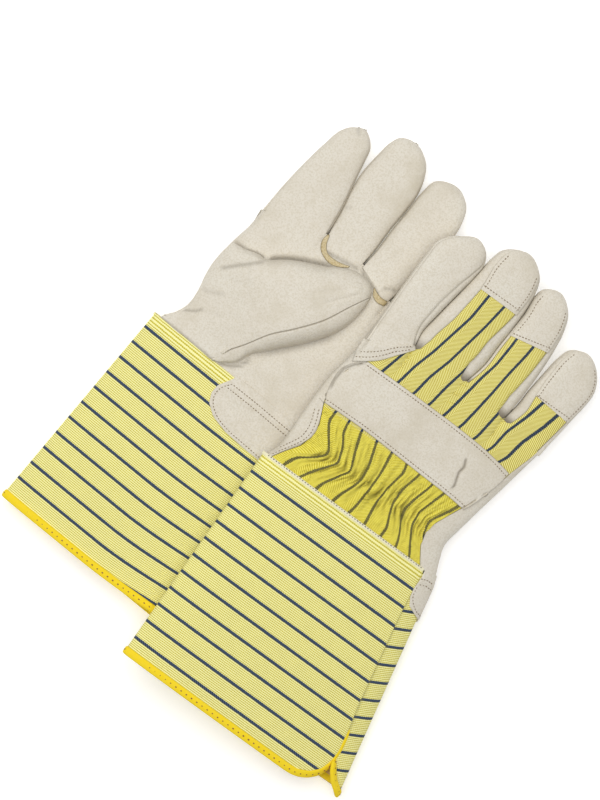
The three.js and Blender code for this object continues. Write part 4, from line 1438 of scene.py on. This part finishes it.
# rows of stitches on the back, drawn on the right glove
backRows = (
    [(-42, 83.8), (0, 83.3), (30, 82.3), (50, 80.8), (60, 79.2), (68.5, 77.4)],
    [(-50, 52.2), (-20, 52.2), (0, 51.2), (25, 49.8), (45, 48.7), (59.5, 47.2)],
    [(-51, 84.5), (-45, 88.5), (-40.5, 92.5), (-34, 100), (-27, 106.5)],
    [(-52.3, 87.5), (-46, 91.8), (-40.5, 96.5), (-34.5, 103), (-27.5, 108.6)],
    [(-51, 44), (-48.2, 36), (-47.2, 31), (-48, 25), (-51, 18.5), (-55, 12), (-58.5, 6)],
    [(-53.2, 43), (-51, 36), (-50.2, 31), (-50.6, 25), (-53.2, 19), (-57, 12), (-60, 6.5)],
)
# the pulse patch: two rows along the wrist and one round its edge, drawn on the left glove
pulseRows = (
    [(4, -3.6), (20, -3.4), (40, -3.8), (60, -4)],
    [(2, -7.2), (20, -7), (40, -7.4), (60, -7.6)],
    [
        (2, -4), (-1.6, -10), (-1.8, -16), (1, -20.8), (7.4, -25.2), (18, -27.8), (30, -28.4), (44, -28.8),
        (64, -28.6),
    ],
)
# the patch's end on the back: two rows across it and one round its edge, drawn on the right glove
patchEndRows = (
    [(62.9, -5), (66.5, -3.9), (70, -4)],
    [(64.3, -8.5), (68, -7.3), (72, -7.5)],
    [(63.4, -11.5), (64.6, -17), (67.4, -20.5), (72.2, -23.6), (76, -24.6)],
)

for side in lying:
    for node, piece in addHand(side).items():
        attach(piece, f"{side}_hand")
        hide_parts(f"{side}_{node}")
    webs = addWebs(side)
    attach(webs, f"{side}_hand")
    for key in fingers[side]:
        for node, piece in addFinger(side, key).items():
            rideFinger(side, key, piece)
            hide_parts(f"{side}_{key}_{node}")
    strap = handPatch(side, "KnuckleStrap", "right", strapCurves, 1, 60, 150, 1.2, creases=strapCreases)
    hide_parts(f"{side}_knuckle_strap")
    hem = handPatch(side, "IndexHem", "right", hemCurves, 1, 24, 44, 1.0, sink="top")
    band = handPatch(side, "WristBand", "right", bandCurves, 1, 60, 12, 0.8, rounds=6, sink="left")
    for number, curves in enumerate((crescent, leaf)):
        # darker painted shade along the welts' edges
        look = {"edgeShade": 0.75, "rounds": 2, "skin": weltLeather}
        welt = handPatch(side, f"Welt{number}", "left", curves, -1, 8, 40, 0.9, **look)
        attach(welt, f"{side}_hand")
    for piece in (strap, hem, band):
        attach(piece, f"{side}_hand")
    for node, piece in addThumb(side).items():
        rideFinger(side, "thumb", piece)
        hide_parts(f"{side}_thumb_{node}")
    for node, piece in addCuff(side).items():
        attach(piece, f"{side}_hand")
        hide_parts(f"{side}_{node}")
    for node, make in (("wrist_tape", addWristTape), ("pulse_patch", addPulsePatch)):
        piece = make(side)
        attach(piece, f"{side}_hand")
        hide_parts(f"{side}_{node}")
    elastic = bpy.data.objects[f"{side}_wrist_elastic"]
    elastic.data.materials.clear()
    elastic.data.materials.append(elasticWeb)
    casters[side] = caster(side)
    print(side, "glove made")

    for row in backRows:
        sew(side, "hand", "brown", row, 1, "right")
    for key in ("middle", "ring", "little"):
        capSeams(side, key)
    cuff = cuffs[side]
    shift = lambda row: [(x, y * cuff["scale"] + cuff["skew"] * (x - cuff["about"])) for x, y in row]
    for row in pulseRows:
        sew(side, "hand", "brown", shift(row), -1)
    sew(side, "hand", "dark", shift([(-60, 0.5), (0, 0.5), (58, 0.5)]), 1, pitch=2.0)
    for row in patchEndRows:
        sew(side, "hand", "brown", row, 1, pitch=1.9)

tree = stitchTree()
groups = {}
for side, part, thread, spots, outs, pitch in stitchLines:
    groups.setdefault((side, part, thread, pitch), []).append((spots, outs))
for number, ((side, part, thread, pitch), rows) in enumerate(groups.items()):
    name = f"{side}{part.capitalize()}{thread.capitalize()}Stitches{number}"
    follow(side, part, bakeStitches(tree, name, side, rows, thread, pitch))
print("stitches made")


# ---- floor, light and camera ----
# in millimetres and degrees: what the camera looks at on the right glove, and how tall the picture is there
view = {"centre": (-62.4, 42.6), "turn": 35, "height": 496, "lens": 200, "sensor": 36, "level": 24}


def addCamera():
    data = bpy.data.cameras.new("camera")
    data.lens = view["lens"]
    data.sensor_fit = "AUTO"
    data.sensor_width = view["sensor"]
    camera = bpy.data.objects.new("camera", data)
    bpy.context.scene.collection.objects.link(camera)
    flat = place["right"][:3, 3] + np.array([view["centre"][0] * mm, view["centre"][1] * mm, 0])
    distance = view["height"] * mm * view["lens"] / view["sensor"]
    camera.location = (flat[0], flat[1], view["level"] * mm + distance)
    camera.rotation_euler = (0, 0, math.radians(view["turn"]))
    data.clip_end = 20
    bpy.context.scene.camera = camera


def addFloor():
    size = 6
    mesh = bpy.data.meshes.new("floor")
    corners = [(-size, -size, 0), (size, -size, 0), (size, size, 0), (-size, size, 0)]
    mesh.from_pydata(corners, [], [(0, 1, 2, 3)])
    floor = bpy.data.objects.new("floor", mesh)
    material, _, shader = newMaterial("whitePaper")
    shader.inputs["Base Color"].default_value = toLinear("#F7F7F7")
    shader.inputs["Roughness"].default_value = 1
    shader.inputs["Specular IOR Level"].default_value = 0
    shader.inputs["Emission Color"].default_value = (1, 1, 1, 1)
    shader.inputs["Emission Strength"].default_value = 0.3
    mesh.materials.append(material)
    bpy.context.scene.collection.objects.link(floor)
    floor.location.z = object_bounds()[0][2] - 0.0001


def addLight(name, where, target, size, power):
    data = bpy.data.lights.new(name, "AREA")
    data.size = size
    data.energy = power
    light = bpy.data.objects.new(name, data)
    light.location = where
    light.rotation_euler = (Vector(target) - Vector(where)).to_track_quat("-Z", "Y").to_euler()
    bpy.context.scene.collection.objects.link(light)


world = bpy.data.worlds.new("studio")
world.use_nodes = True
world.node_tree.nodes["Background"].inputs["Color"].default_value = (1, 1, 1, 1)
world.node_tree.nodes["Background"].inputs["Strength"].default_value = 0.3
bpy.context.scene.world = world
bpy.context.scene.view_settings.view_transform = "Standard"
addCamera()
addFloor()
addLight("overhead", (-0.25, 0.2, 1.5), (0, 0, 0), 1.6, 23)
print("scene set")
